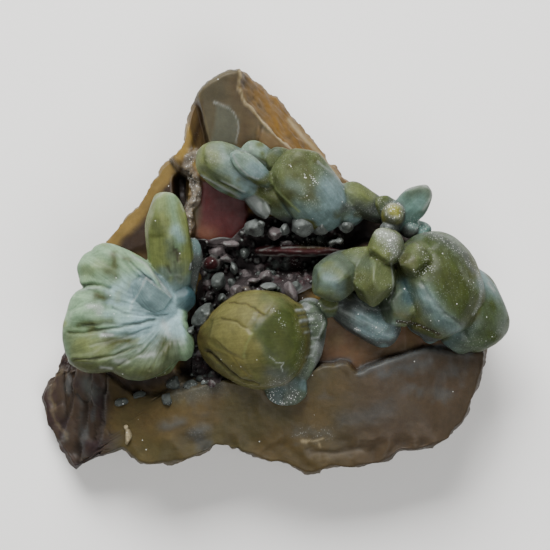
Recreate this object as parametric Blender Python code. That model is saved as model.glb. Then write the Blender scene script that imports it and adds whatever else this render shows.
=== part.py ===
"""A plumbogummite pseudomorph on its stone, lying on its back.

A broken wedge of brown, waxy stone has a hollow in its face. Blunt green and blue-grey crystals have grown
out of it in groups, and small dark balls and plates line the hollow. Crystals that have grown into each
other are one solid, and each group is its own object.

Frame: +Z points out of the crystal face, +Y towards the stone's peak, and the origin lies on the flat of
the stone's back. Lengths below are millimetres, and MM turns them into metres.
"""

import math

import bmesh
import bpy
import numpy as np
from mathutils import Vector

MM = 0.001
CLEARANCE = 0.3  # left between two solids that touch in the real thing

# The stone's shape.
STONE_CENTRE = (-2.0, -4.0)  # every point of the outline can be seen from here
STONE_SPOKES = 72
STONE_RINGS = 15
SPOKE_SKIPS = ((3, 4), (7, 2), (STONE_RINGS, 1))  # up to each ring, how many spokes lie between two points
PEAK_CROWDING = 0.25  # draws the spokes together towards the peak, where the ridges are fine
STONE_OUTLINE = (
    (-5.0, 28.9), (-7.6, 28.0), (-10.0, 26.4), (-11.1, 24.4), (-12.1, 20.7), (-12.6, 18.6), (-13.7, 17.1),
    (-17.2, 13.6), (-19.5, 9.6), (-24.0, 4.6), (-27.1, -3.6), (-29.9, -10.0), (-31.4, -13.6), (-33.6, -18.2),
    (-32.6, -21.7), (-30.7, -24.3), (-28.6, -27.6), (-25.4, -25.6), (-21.9, -24.4), (-18.1, -26.6),
    (-13.9, -26.1), (-8.6, -24.0), (-5.0, -24.3), (2.1, -26.6), (5.3, -27.9), (7.9, -27.0), (12.9, -26.7),
    (17.9, -24.9), (24.4, -22.9), (27.2, -19.4), (28.9, -14.0), (30.0, -7.9), (29.3, -3.6), (26.7, 0.7),
    (23.6, 4.3), (20.7, 6.7), (12.1, 11.0), (9.1, 14.0), (7.6, 16.2), (5.9, 18.1), (3.9, 20.2), (2.1, 22.5),
    (0.2, 25.1), (-1.9, 26.2), (-3.7, 27.8),
)
OUTLINE_SPREAD = 1.015  # the broken rim lies low, so it is a little wider than it looks from above
FLANK_LEVELS = (0.72, 0.42, 0.18, 0.0)  # shares of the rim's height, down the broken sides
FLANK_INSETS = (-0.1, 0.7, 2.0, 4.4)  # how far each level lies inside the outline
REST_HALF_DEPTH = 1.0  # the cutter's reach below the stone

# Each facet of the broken face: a point on it and its rise along X and along Y.
FACETS = {
    "ledge": ((0.0, -13.0, 16.6), (0.0, 0.30)),
    "left": ((-14.0, -6.0, 14.6), (0.40, 0.02)),
    "right": ((20.0, -4.0, 15.4), (-0.34, 0.05)),
    "rear": ((0.0, 12.0, 14.6), (0.02, 0.05)),
    "left_edge": ((-14.5, 9.0, 11.6), (0.62, -0.50)),
}
FACET_BLEND = 0.4
LEFT_EDGE_END = (14.5, 17.5)  # the left edge's facet fades out between these values of y
OUT_OF_REACH = 20.0  # lifts a facet clear of the others where it has ended
STEP_HALF = 0.4  # half the width over which a sharp step falls

# The sharp ridge from the apex down to the right, and the steep fresh break beyond it.
RIDGE = (
    (-5.2, 29.4), (-5.3, 26.7), (-4.4, 24.3), (-1.9, 21.9), (0.0, 19.6), (2.1, 17.9), (4.6, 15.2),
    (9.5, 10.2), (15.5, 6.0), (21.0, 1.0), (25.5, -6.0),
)
RIDGE_HEIGHT = 15.3
RIDGE_FALL = 0.06  # how fast the ridge drops along its length
BREAK_SLOPE = 1.45
LOWEST_RIM = 2.5
# The sliver at the left of the peak: the place and lean of its edge, the drop there and its rise outwards.
SLIVER_EDGE = (-11.0, 24.6, 0.25)
SLIVER_DROP = 4.6
SLIVER_RISE = 1.0
SLIVER_WIDTH = 3.0
SLIVER_END = (16.5, 18.0)
# The thin rim that stands between the dark gap and the smooth red patch.
RIM_WALL = ((-12.0, 16.4), (-11.8, 10.6))
RIM_WALL_HEIGHT = 1.6
RIM_WALL_WIDTH = 0.8

# The hollow follows these lines: start, end, the floor's half width, the rim's half width, and the floor.
HOLLOWS = (
    ((-7.0, 3.6), (3.5, 4.0), 2.6, 6.4, 8.0),
    ((3.5, 4.0), (14.0, 7.0), 1.4, 4.0, 8.5),
    ((-7.5, 2.0), (-11.4, -12.6), 1.3, 3.6, 8.5),
    ((-13.4, 13.6), (-13.2, 9.6), 0.4, 1.5, 6.5),
    ((-20.0, 5.6), (-16.0, 11.4), 0.6, 2.4, 7.0),
)
# The front edge of the ledge's smooth skin, as (x, y) from left to right, and how thick the skin is.
SKIN_EDGE = (
    (-26.0, -13.5), (-20.0, -17.3), (-15.5, -17.0), (-8.0, -14.8), (0.0, -16.0), (5.0, -13.5), (7.0, -12.7),
    (10.3, -12.4), (11.6, -14.0), (12.3, -13.6), (15.0, -12.3), (18.5, -11.2), (21.4, -10.4), (28.0, -11.0),
)
SKIN_STEP = 1.7
# The torn plates at the lower left: each line's x at y = PLATE_Y and its lean, and the drop to its left.
PLATE_EDGES = ((-24.6, 0.10, 0.9), (-27.6, 0.16, 1.0), (-30.2, 0.22, 1.2))
PLATE_Y = -20.0
PLATE_TOP = (-12.0, -8.0)  # the plates fade out between these values of y

# A crystal: base point, tip point, half width, half thickness, taper, bluntness, how six-sided it is.
# A taper of 0 is as wide at both ends, and a bluntness of 2 is an ellipse and above it a barrel.
CRYSTAL_STEPS = ((5.0, (16, 8)), (2.8, (10, 6)), (1.5, (8, 5)), (0.0, (6, 4)))  # by least half width
UPRIGHT = 0.2  # a crystal whose axis leans less than this takes +X as its side
LEFT_FAN = (
    ((-13.6, -6.6, 13.2), (-27.0, 2.2, 17.0), 4.0, 3.0, 0.42, 2.4, 0.25),
    ((-13.0, -6.2, 12.2), (-21.6, 3.2, 14.4), 2.4, 1.9, 0.40, 2.3, 0.10),
    ((-13.0, -6.8, 13.6), (-29.6, -4.8, 17.6), 3.9, 3.5, 0.45, 2.4, 0.25),
    ((-12.8, -7.2, 13.6), (-30.1, -9.6, 17.0), 4.1, 3.6, 0.45, 2.4, 0.25),
    ((-12.6, -7.0, 13.2), (-23.8, -13.2, 16.6), 3.6, 3.2, 0.40, 2.4, 0.25),
    ((-12.8, -6.6, 12.8), (-18.6, -14.6, 16.0), 3.6, 3.1, 0.30, 2.6, 0.25),
    ((-12.8, -6.0, 12.8), (-14.8, -12.6, 15.4), 2.6, 2.6, 0.25, 2.6, 0.20),
    ((-12.8, -5.4, 15.2), (-19.2, -0.6, 18.6), 2.6, 1.8, 0.35, 3.0, 0.45),
    ((-14.4, -5.2, 13.0), (-15.5, 11.8, 20.4), 3.15, 2.3, 0.30, 2.3, 0.20),
    ((-13.4, -6.2, 12.2), (-11.3, 5.4, 15.8), 2.0, 1.8, 0.10, 2.4, 0.30),
)
CENTRE_DOME = (
    ((-10.5, -9.6, 14.2), (4.3, -8.7, 19.4), 6.6, 5.9, 0.33, 2.25, 0.10),
    ((-9.8, -10.6, 13.2), (2.2, -15.6, 16.2), 2.3, 2.4, 0.30, 2.2, 0.10),
    ((0.4, -8.0, 12.8), (7.1, -5.8, 17.0), 2.9, 1.8, 0.25, 2.6, 0.20),
    ((0.8, -10.0, 13.0), (1.9, -18.4, 16.8), 3.2, 2.4, 0.20, 2.6, 0.15),
    ((1.0, -9.6, 12.4), (5.2, -12.6, 16.4), 2.6, 2.0, 0.20, 2.4, 0.15),
)
UPPER_GROUP = (
    ((-1.0, 12.0, 14.6), (-10.9, 17.2, 18.2), 3.1, 2.6, 0.15, 2.6, 0.30),
    ((-0.6, 12.8, 18.0), (-6.1, 17.3, 20.4), 1.5, 1.3, 0.15, 2.5, 0.35),
    ((0.6, 15.0, 13.4), (-4.4, 18.2, 16.8), 1.8, 1.5, 0.05, 2.4, 0.20),
    ((3.0, 14.0, 13.2), (-0.8, 17.6, 16.6), 2.0, 1.6, 0.05, 2.4, 0.20),
    ((8.9, 7.6, 13.6), (1.0, 16.6, 19.8), 4.3, 3.3, 0.10, 2.6, 0.30),
    ((4.4, 8.6, 11.6), (-2.2, 13.4, 16.8), 2.9, 2.4, 0.10, 2.4, 0.20),
    ((12.4, 8.0, 12.4), (5.8, 9.6, 16.6), 2.7, 2.4, 0.00, 2.4, 0.20),
    ((16.2, 8.2, 12.2), (9.4, 12.4, 15.8), 2.0, 1.8, 0.10, 2.3, 0.20),
    ((10.4, 8.0, 12.6), (10.0, 6.4, 15.4), 1.0, 1.0, 0.00, 2.2, 0.00),
    ((-4.4, 12.4, 15.2), (-1.0, 8.2, 17.6), 1.2, 0.9, 0.10, 3.0, 0.40),
)
WING_GROUP = (
    ((16.2, 6.8, 12.4), (21.8, 12.2, 18.6), 2.2, 1.4, 0.15, 2.5, 0.30),
    ((18.0, 8.0, 11.6), (14.4, 10.8, 15.4), 1.6, 1.2, 0.10, 2.4, 0.20),
    ((16.8, 7.4, 12.6), (16.8, 9.2, 18.6), 1.6, 1.6, 0.00, 2.4, 0.25),
    ((16.4, 6.2, 12.4), (16.2, 6.9, 17.4), 1.3, 1.2, 0.00, 2.3, 0.20),
    ((18.4, 6.6, 12.0), (20.0, 7.0, 15.8), 1.4, 1.2, 0.00, 2.4, 0.20),
    ((18.8, 6.6, 12.0), (22.0, 6.2, 15.0), 1.4, 1.3, 0.00, 2.4, 0.20),
)
RIGHT_GROUP = (
    ((10.0, 1.5, 13.4), (7.1, -2.0, 23.2), 3.1, 3.3, 0.10, 3.0, 0.50),
    ((14.6, 2.0, 14.0), (13.6, -2.3, 24.4), 2.85, 3.3, 0.08, 3.2, 0.50),
    ((16.8, 4.2, 15.6), (14.6, 3.8, 24.2), 2.6, 2.3, 0.10, 2.6, 0.35),
    ((20.6, 2.6, 14.6), (19.3, 1.5, 23.2), 2.4, 2.4, 0.10, 2.5, 0.30),
    ((21.2, 5.6, 14.6), (25.2, -8.8, 16.8), 5.9, 6.4, 0.10, 2.3, 0.10),
    ((25.6, 0.8, 11.6), (30.8, -10.4, 14.0), 4.4, 5.0, 0.10, 2.3, 0.15),
    ((8.4, -3.6, 14.6), (17.5, -8.7, 17.0), 2.8, 2.3, 0.12, 2.6, 0.15),
    ((17.8, 1.0, 13.8), (17.6, -6.9, 20.2), 2.9, 2.8, 0.15, 2.5, 0.30),
    ((22.2, -1.0, 13.2), (22.4, -9.2, 17.4), 3.4, 3.0, 0.05, 2.4, 0.15),
    ((18.0, 1.6, 13.0), (8.4, 0.6, 18.8), 3.0, 2.8, 0.05, 2.5, 0.20),
    ((10.4, -3.4, 13.2), (6.0, -5.0, 16.8), 1.6, 1.6, 0.05, 2.4, 0.20),
    ((24.0, -6.0, 12.6), (28.8, -9.8, 15.2), 2.8, 2.6, 0.10, 2.4, 0.20),
    ((21.6, -7.4, 13.4), (22.5, -9.4, 16.2), 1.2, 1.1, 0.00, 2.2, 0.00),
    ((24.6, -7.4, 12.6), (25.5, -9.2, 15.6), 1.3, 1.3, 0.00, 2.2, 0.00),
)

# The crust's balls and plates: x and y of the middle, how far the middle stands above the bed, half width,
# half length and turn in degrees.
CRUST_GRAINS = (
    (-9.6, -5.4, 4.2, 1.5, 2.4, 135), (-7.9, -0.6, 1.2, 1.0, 1.6, 150), (-7.6, 1.6, 0.9, 1.9, 1.7, 0),
    (-8.6, 3.6, 0.9, 1.4, 1.3, 0), (-6.3, 4.3, 0.9, 0.6, 1.4, 100), (-3.6, 6.0, 1.0, 1.25, 1.3, 10),
    (0.1, 6.0, 1.0, 1.2, 1.2, 0), (3.8, 6.7, 1.3, 1.65, 1.65, 0), (6.7, 6.6, 0.9, 1.2, 1.2, 0),
    (8.5, 4.6, 1.2, 0.8, 1.1, 80), (-1.7, 0.0, 1.0, 1.3, 2.0, 95), (-4.4, 0.4, 0.7, 1.4, 1.6, 0),
    (1.4, 1.4, 0.5, 1.4, 1.7, 0), (-0.3, -1.8, 1.2, 0.8, 1.1, 60), (2.1, -1.5, 0.5, 1.0, 1.9, 25),
    (-5.6, -1.6, 1.2, 1.0, 1.4, 120), (-3.2, -1.2, 1.2, 0.9, 1.2, 30), (-11.8, 3.6, 0.8, 1.2, 1.5, 0),
)
GRAIN_STEPS = (6, 4)
GRAIN_ROOT = 0.5  # how deep the foot of a tall grain is sunk in the bed
BLADE = ((-2.8, 3.5, 11.5), (9.4, 3.3, 12.2), 0.9, 3.2, 0.0, 3.0, 0.0)  # the dark blade across the hollow
BED_CENTRE = (-8.6, 1.2)  # every point of the bed's outline can be seen from here
BED_OUTLINE = (
    (-6.6, -6.0), (-4.0, -3.2), (4.0, -2.4), (9.8, 2.0), (9.8, 6.9), (4.0, 8.2), (-3.4, 7.6), (-6.2, 5.2),
    (-9.4, 5.0), (-12.0, 5.0), (-10.4, 0.0), (-10.8, -5.0), (-12.2, -14.2), (-10.0, -15.6), (-7.4, -15.2),
    (-7.0, -11.8),
)
BED_THICKNESS = 1.5
BED_FOOT = 4.0  # the bed's underside before the stone is cut out of it
BED_SPOKES = 20
BED_RINGS = 3

# Colours, by eye from the real thing, as linear red, green and blue, with a roughness.
FINISHES = {
    "stone": ((0.13, 0.10, 0.055), 0.45),
    "left_fan": ((0.27, 0.35, 0.26), 0.35),
    "centre_dome": ((0.17, 0.19, 0.07), 0.35),
    "upper_group": ((0.19, 0.25, 0.18), 0.35),
    "wing_group": ((0.20, 0.28, 0.24), 0.35),
    "right_group": ((0.13, 0.17, 0.11), 0.35),
    "hollow_crust": ((0.055, 0.045, 0.045), 0.50),
}


def smoothstep(low, high, value):
    """0 below low, 1 above high, and a smooth S between."""
    share = np.clip((value - low) / (high - low), 0.0, 1.0)
    return share * share * (3.0 - 2.0 * share)


def line_distance(x, y, start, end):
    """Distance in plan from the straight line between two points."""
    run = (end[0] - start[0], end[1] - start[1])
    share = ((x - start[0]) * run[0] + (y - start[1]) * run[1]) / (run[0] ** 2 + run[1] ** 2)
    share = np.clip(share, 0.0, 1.0)
    return np.hypot(x - start[0] - share * run[0], y - start[1] - share * run[1])


def facet(name, x, y):
    """Height of one flat facet."""
    (px, py, pz), (rise_x, rise_y) = FACETS[name]
    return pz + rise_x * (x - px) + rise_y * (y - py)


def lowest(heights):
    """The lowest of several heights, with the ridges between them rounded a little."""
    total = sum(np.exp(-height / FACET_BLEND) for height in heights)
    return -FACET_BLEND * np.log(total)


def beyond_ridge(x, y):
    """How far a place lies beyond the peak's ridge, square to its run, and how far along it."""
    points = np.array(RIDGE)
    run = (points[-1] - points[0]) / np.linalg.norm(points[-1] - points[0])
    side = np.array([-run[1], run[0]])
    along = (x - points[0, 0]) * run[0] + (y - points[0, 1]) * run[1]
    across = (x - points[0, 0]) * side[0] + (y - points[0, 1]) * side[1]
    ridge = np.interp(along, (points - points[0]) @ run, (points - points[0]) @ side)
    return across - ridge, along


def broken_face(x, y):
    """Height of the rough face inside the ledge: facets, the peak's fresh break and the sliver beside it."""
    left_edge = facet("left_edge", x, y) + OUT_OF_REACH * smoothstep(*LEFT_EDGE_END, y)
    beyond, along = beyond_ridge(x, y)
    fresh = RIDGE_HEIGHT - RIDGE_FALL * along - BREAK_SLOPE * beyond
    height = lowest([facet(name, x, y) for name in ("left", "right", "rear")] + [left_edge, fresh])
    height = np.maximum(height, LOWEST_RIM)
    edge_x, edge_y, lean = SLIVER_EDGE
    outside = edge_x + lean * (edge_y - y) - x
    drop = SLIVER_DROP - SLIVER_RISE * np.clip(outside, 0.0, SLIVER_WIDTH)
    return height - drop * smoothstep(-STEP_HALF, STEP_HALF, outside) * smoothstep(*SLIVER_END, y)


def stone_height(x, y):
    """Height of the stone's face above its back at a place in plan."""
    inner = broken_face(x, y)
    for start, end, floor_half, rim_half, floor in HOLLOWS:
        wall = smoothstep(floor_half, rim_half, line_distance(x, y, start, end))
        inner = np.minimum(inner, floor + (inner - floor) * wall)
    inner = inner + RIM_WALL_HEIGHT * np.exp(-((line_distance(x, y, *RIM_WALL) / RIM_WALL_WIDTH) ** 2))
    edge_y = np.interp(x, [p[0] for p in SKIN_EDGE], [p[1] for p in SKIN_EDGE])
    skin = smoothstep(-STEP_HALF, STEP_HALF, edge_y - y)
    ledge = lowest([facet(name, x, y) for name in ("ledge", "right", "left")])
    below_skin = np.minimum(inner, ledge - SKIN_STEP)
    height = below_skin + (ledge - below_skin) * skin
    for edge_x, lean, drop in PLATE_EDGES:
        line_x = edge_x + lean * (y - PLATE_Y)
        fallen = smoothstep(-STEP_HALF, STEP_HALF, line_x - x)
        height = height - drop * fallen * (1.0 - smoothstep(*PLATE_TOP, y))
    return height


def outline_radius(angle, outline, centre):
    """Distance from a centre to a closed outline round it, at each angle."""
    points = np.array(outline) - np.array(centre)
    angles = np.arctan2(points[:, 1], points[:, 0]) % (2 * math.pi)
    order = np.argsort(angles)
    radii = np.hypot(points[:, 0], points[:, 1])
    return np.interp(angle % (2 * math.pi), angles[order], radii[order], period=2 * math.pi)


def new_object(name, mesh, helper=False):
    """Links an object. A helper is a cutter that isn't part of the model."""
    obj = bpy.data.objects.new(name, mesh)
    bpy.context.scene.collection.objects.link(obj)
    if helper:
        obj.hide_render = True
        obj.display_type = "WIRE"
    return obj


def mesh_of(bm, name):
    """Turns a bmesh in millimetres into a mesh in metres."""
    bmesh.ops.scale(bm, vec=(MM, MM, MM), verts=bm.verts)
    bmesh.ops.recalc_face_normals(bm, faces=bm.faces)
    mesh = bpy.data.meshes.new(name)
    bm.to_mesh(mesh)
    bm.free()
    mesh.shade_smooth()
    return mesh


def ring_of(bm, points):
    """Adds one closed ring of vertices."""
    return [bm.verts.new(point) for point in points]


def bridge(bm, upper, lower):
    """Joins two rings with a band of faces. The second has as many points as the first or twice as many."""
    count = len(upper)
    for i in range(count):
        k = (i + 1) % count
        if len(lower) == count:
            bm.faces.new((upper[i], upper[k], lower[k], lower[i]))
        else:
            between = lower[2 * i + 1]
            bm.faces.new((upper[i], between, lower[2 * i]))
            bm.faces.new((upper[i], upper[k], between))
            bm.faces.new((upper[k], lower[2 * k], between))


def add_stone(bm, grow=0.0):
    """Adds the stone as a closed shell: the face as rings about STONE_CENTRE, the flanks, then the flat back.

    With grow it is the same shape, that much higher and wider, to cut what lies on the stone. Both are cut
    into the same triangles, so that they stay apart where a face is bent.
    """
    angle = np.arange(STONE_SPOKES) * 2 * math.pi / STONE_SPOKES
    angle = angle - PEAK_CROWDING * np.sin(angle - math.pi / 2)
    direction = np.stack([np.cos(angle), np.sin(angle)], axis=1)
    radius = outline_radius(angle, np.array(STONE_OUTLINE) * OUTLINE_SPREAD, STONE_CENTRE)
    centre = np.array(STONE_CENTRE)
    hub = bm.verts.new((*centre, float(stone_height(*centre)) + grow))
    rings = []
    for i in range(1, STONE_RINGS + 1):
        share = i / STONE_RINGS
        skip = next(count for last, count in SPOKE_SKIPS if i <= last)
        plan = centre + (direction * (radius * share)[:, None])[::skip]
        height = stone_height(plan[:, 0], plan[:, 1]) + grow
        reach = grow if i == STONE_RINGS else 0.0
        plan = plan + direction[::skip] * reach
        rings.append(ring_of(bm, np.column_stack([plan, height])))
    rim_height = stone_height(*(centre + direction * radius[:, None]).T)
    for level, inset in zip(FLANK_LEVELS, FLANK_INSETS):
        plan = centre + direction * (radius - inset + grow)[:, None]
        height = rim_height * level
        if level == 0.0:
            height = np.full(STONE_SPOKES, -REST_HALF_DEPTH if grow else 0.0)
        rings.append(ring_of(bm, np.column_stack([plan, height])))
    for i in range(len(rings[0])):
        bm.faces.new((hub, rings[0][i], rings[0][(i + 1) % len(rings[0])]))
    for upper, lower in zip(rings, rings[1:]):
        bridge(bm, upper, lower)
    bmesh.ops.triangulate(bm, faces=bm.faces, quad_method="FIXED")
    bm.faces.new(rings[-1])


def six_sided(turn, share):
    """How much a section stands out at an angle: a circle at share 0, a hexagon at share 1."""
    step = math.pi / 3
    hexagon = math.cos(step / 2) / math.cos(turn % step - step / 2)
    return 1.0 - share + share * hexagon


def add_crystal(bm, crystal, grow=0.0):
    """Adds a closed crystal: a sphere drawn out from its base to its tip, with a blunt, tapered profile."""
    base, tip, half_width, half_thick, taper, bluntness, hexness = crystal
    round_steps, long_steps = next(counts for size, counts in CRYSTAL_STEPS if half_width >= size)
    base, tip = Vector(base), Vector(tip)
    axis = (tip - base).normalized()
    side = axis.cross(Vector((0, 0, 1)))
    side = side.normalized() if side.length > UPRIGHT else Vector((1, 0, 0))
    up = side.cross(axis).normalized()
    middle = (base + tip) / 2
    half_length = (tip - base).length / 2 + grow
    made = bmesh.ops.create_uvsphere(bm, u_segments=round_steps, v_segments=long_steps, radius=1.0)
    for vert in made["verts"]:
        along = vert.co.z
        turn = math.atan2(vert.co.y, vert.co.x)
        spread = max(0.0, 1.0 - abs(along) ** bluntness) ** (1.0 / bluntness)
        spread *= (1.0 + taper * along) * six_sided(turn, hexness)
        vert.co = (
            middle
            + axis * (along * half_length)
            + side * (math.cos(turn) * spread * (half_width + grow))
            + up * (math.sin(turn) * spread * (half_thick + grow))
        )


def bed_top(x, y):
    """Height of the top of the crust's bed, which follows the stone."""
    return stone_height(x, y) + CLEARANCE + BED_THICKNESS


def add_grain(bm, grain):
    """Adds one ball or stubby plate of the crust."""
    x, y, lift, half_width, half_length, turn = grain
    z = float(bed_top(x, y)) + lift
    round_steps, long_steps = GRAIN_STEPS
    made = bmesh.ops.create_uvsphere(bm, u_segments=round_steps, v_segments=long_steps, radius=1.0)
    cos, sin = math.cos(math.radians(turn)), math.sin(math.radians(turn))
    for vert in made["verts"]:
        across, along = vert.co.x * half_width, vert.co.y * half_length
        height = vert.co.z * max((half_width + half_length) / 2, lift + GRAIN_ROOT)
        vert.co = (x + across * cos - along * sin, y + across * sin + along * cos, z + height)


def add_bed(bm):
    """Adds the bed under the crust's grains. Its top follows the stone, and its foot is in the stone."""
    turn = np.arange(BED_SPOKES) * 2 * math.pi / BED_SPOKES
    direction = np.stack([np.cos(turn), np.sin(turn)], axis=1)
    reach = direction * outline_radius(turn, BED_OUTLINE, BED_CENTRE)[:, None]
    centre = np.array(BED_CENTRE)
    top_hub = bm.verts.new((*centre, float(bed_top(*centre))))
    foot_hub = bm.verts.new((*centre, BED_FOOT))
    rings = []
    for i in range(1, BED_RINGS + 1):
        plan = centre + reach * (i / BED_RINGS)
        rings.append(ring_of(bm, np.column_stack([plan, bed_top(plan[:, 0], plan[:, 1])])))
    rings.append(ring_of(bm, np.column_stack([centre + reach, np.full(BED_SPOKES, BED_FOOT)])))
    for i in range(BED_SPOKES):
        k = (i + 1) % BED_SPOKES
        bm.faces.new((top_hub, rings[0][i], rings[0][k]))
        bm.faces.new((foot_hub, rings[-1][k], rings[-1][i]))
    for inner, outer in zip(rings, rings[1:]):
        bridge(bm, inner, outer)


def clear(obj, neighbours):
    """Cuts a solid clear of the stone and of the groups made before it.

    One Boolean also joins the solid's own overlapping shells. Its cutter is a helper that holds all of the
    neighbours, each grown by the clearance.
    """
    bm = bmesh.new()
    add_stone(bm, CLEARANCE)
    for crystals in neighbours:
        for crystal in crystals:
            add_crystal(bm, crystal, CLEARANCE)
    cutter = new_object(obj.name + "_cutter", mesh_of(bm, obj.name + "_cutter"), helper=True)
    modifier = obj.modifiers.new("clear", "BOOLEAN")
    modifier.operation = "DIFFERENCE"
    modifier.object = cutter
    modifier.solver = "EXACT"
    modifier.use_self = True


def crystal_group(name, crystals):
    """One group of crystals grown together, before it is cut clear."""
    bm = bmesh.new()
    for crystal in crystals:
        add_crystal(bm, crystal)
    return new_object(name, mesh_of(bm, name))


def hollow_crust():
    """The balls, plates and blade that line the hollow, on their bed, before they are cut clear."""
    bm = bmesh.new()
    add_bed(bm)
    for grain in CRUST_GRAINS:
        add_grain(bm, grain)
    add_crystal(bm, BLADE)
    bmesh.ops.triangulate(bm, faces=bm.faces)
    return new_object("hollow_crust", mesh_of(bm, "hollow_crust"))


def paint(obj):
    """Gives an object its plain finish."""
    colour, roughness = FINISHES[obj.name]
    material = bpy.data.materials.new(obj.name)
    material.use_nodes = True
    shader = material.node_tree.nodes["Principled BSDF"]
    shader.inputs["Base Color"].default_value = (*colour, 1.0)
    shader.inputs["Roughness"].default_value = roughness
    shader.inputs["Metallic"].default_value = 0.0
    obj.data.materials.append(material)


def main():
    for old in list(bpy.data.objects):
        bpy.data.objects.remove(old)
    bm = bmesh.new()
    add_stone(bm)
    made = [new_object("stone", mesh_of(bm, "stone"))]
    groups = {
        "left_fan": LEFT_FAN,
        "centre_dome": CENTRE_DOME,
        "upper_group": UPPER_GROUP,
        "wing_group": WING_GROUP,
        "right_group": RIGHT_GROUP,
    }
    neighbours = []
    for name, crystals in groups.items():
        group = crystal_group(name, crystals)
        clear(group, neighbours)
        made.append(group)
        neighbours.append(crystals)
    crust = hollow_crust()
    clear(crust, neighbours)
    made.append(crust)
    for obj in made:
        paint(obj)


main()
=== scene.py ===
"""A plumbogummite pseudomorph on its stone, lying on its back on a pale floor.

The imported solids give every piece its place. The stone, each group of crystals and the crust in the hollow
are worked out again here as fine surfaces: closed grids of two parameters, fused where crystals have grown
into each other, then roughened and coloured point by point by where they lie.

Lengths are millimetres until a mesh is made, and MM turns them into metres. +Z points out of the crystal
face and +Y towards the stone's peak.
"""

import logging
import math
from dataclasses import dataclass, field
from enum import Enum
from functools import cache

import bpy
import numpy as np
from bpy.types import Material, Node, NodeSocket, NodeTree, Object
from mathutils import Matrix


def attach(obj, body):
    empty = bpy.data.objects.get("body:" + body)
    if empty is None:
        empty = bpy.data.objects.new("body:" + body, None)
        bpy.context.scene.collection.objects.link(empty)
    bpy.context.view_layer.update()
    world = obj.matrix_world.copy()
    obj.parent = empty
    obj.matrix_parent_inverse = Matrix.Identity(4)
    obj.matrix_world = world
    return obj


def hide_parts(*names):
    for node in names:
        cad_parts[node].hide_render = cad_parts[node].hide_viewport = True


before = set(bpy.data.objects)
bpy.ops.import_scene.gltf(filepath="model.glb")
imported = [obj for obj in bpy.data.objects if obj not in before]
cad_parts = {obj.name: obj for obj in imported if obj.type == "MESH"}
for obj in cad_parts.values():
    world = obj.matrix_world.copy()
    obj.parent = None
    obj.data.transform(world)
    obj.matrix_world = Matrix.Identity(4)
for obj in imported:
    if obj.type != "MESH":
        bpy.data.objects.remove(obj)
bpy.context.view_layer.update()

MM = 0.001
DEPTH = 0.42  # the colours are those of the specimen in dim light, and the studio is brighter
LOG = logging.getLogger("specimen")
Point = tuple[float, float, float]
Place = tuple[float, float]
Path = tuple[Place, ...]
Marks = dict[str, np.ndarray]


class Hue(Enum):
    """Plain colours of the specimen, as red, green and blue on a display from 0 to 255."""

    BLUE_WHITE = (142, 168, 170)
    ICE = (172, 206, 210)
    PALE_MINT = (154, 188, 150)
    ASH = (126, 132, 128)
    SKY_GREY = (120, 144, 142)
    MINT = (140, 163, 144)
    PALE_GREEN = (144, 160, 106)
    YELLOW_GREEN = (132, 142, 82)
    LEAF = (104, 114, 72)
    OLIVE = (88, 92, 50)
    MOSS = (66, 80, 34)
    GREY_GREEN = (98, 112, 92)
    TEAL = (126, 162, 152)
    AMBER_GREEN = (122, 112, 58)
    LEMON = (158, 158, 76)
    SMOKE = (92, 98, 94)
    FROST = (196, 202, 196)
    LILAC_GREY = (124, 114, 114)
    PLUM = (74, 56, 58)
    # near-black: the crust's own dark colour, and painted shade in the hollow's troughs, under the fan's
    # edge, in a pit and under the blade
    BLACK_AND_SHADE = (58, 51, 51)
    SKIN_BROWN = (100, 84, 50)
    SKIN_OLIVE = (90, 81, 49)
    SKIN_BLUE = (92, 96, 96)
    FACE_GREY = (82, 75, 54)
    CHALCEDONY = (88, 88, 72)
    CREAM = (196, 178, 138)
    ORANGE_BROWN = (134, 99, 38)
    TAN = (104, 84, 52)
    BAND_BROWN = (140, 114, 56)
    OXBLOOD = (86, 32, 32)
    RUST = (120, 74, 54)
    TORN_BROWN = (80, 65, 52)
    BONE = (138, 128, 114)
    DEEP_TEAL = (58, 88, 94)
    DARK_OLIVE = (74, 80, 34)
    STRAW = (128, 124, 72)
    # dark brown, laid mostly as painted shade in creases, pits, gaps and on the band next to the fan
    UMBER = (52, 36, 22)
    RED_GLASS = (66, 26, 28)
    # laid mostly as painted highlights and glints on edges and striations; in the crust two small pale
    # crystals have it as their own colour
    SILVER = (168, 176, 170)

    def linear(self) -> np.ndarray:
        """The colour as linear red, green and blue: the display's own curve, times DEPTH."""
        share = np.array(self.value) / 255.0
        return np.where(share <= 0.04045, share / 12.92, ((share + 0.055) / 1.055) ** 2.4) * DEPTH


# Plain functions on arrays


def smoothstep(low: float, high: float, value: np.ndarray) -> np.ndarray:
    """A smooth S from 0 to 1: 3 s^2 - 2 s^3, where s is the value's share of the way from low to high."""
    share = np.clip((value - low) / (high - low), 0.0, 1.0)
    return share * share * (3.0 - 2.0 * share)


def blend(first: np.ndarray | Hue, second: np.ndarray | Hue, share: np.ndarray) -> np.ndarray:
    """Mixes two colours, or arrays of colours, by a share for each point: first + (second - first) share."""
    first, second = (one.linear() if isinstance(one, Hue) else one for one in (first, second))
    return first + (second - first) * np.asarray(share)[..., None]


def cell_value(cell: np.ndarray, seed: int) -> np.ndarray:
    """A repeatable number for each cell of a lattice.

    Args:
        cell: whole-number coordinates, three to a cell.
        seed: a different seed gives different numbers.

    Returns:
        Numbers from 0 to 1: the coordinates times large odd numbers, added, then stirred by shifts.
    """
    mixed = (cell * np.array([374761393, 668265263, 1103515245])).sum(axis=-1) + seed * 974711
    mixed = mixed & 0xFFFFFFFF
    mixed = ((mixed ^ (mixed >> 13)) * 1274126177) & 0xFFFFFFFF
    mixed = ((mixed ^ (mixed >> 16)) * 668265263) & 0xFFFFFFFF
    return (mixed ^ (mixed >> 15)) / 4294967295.0


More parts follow.
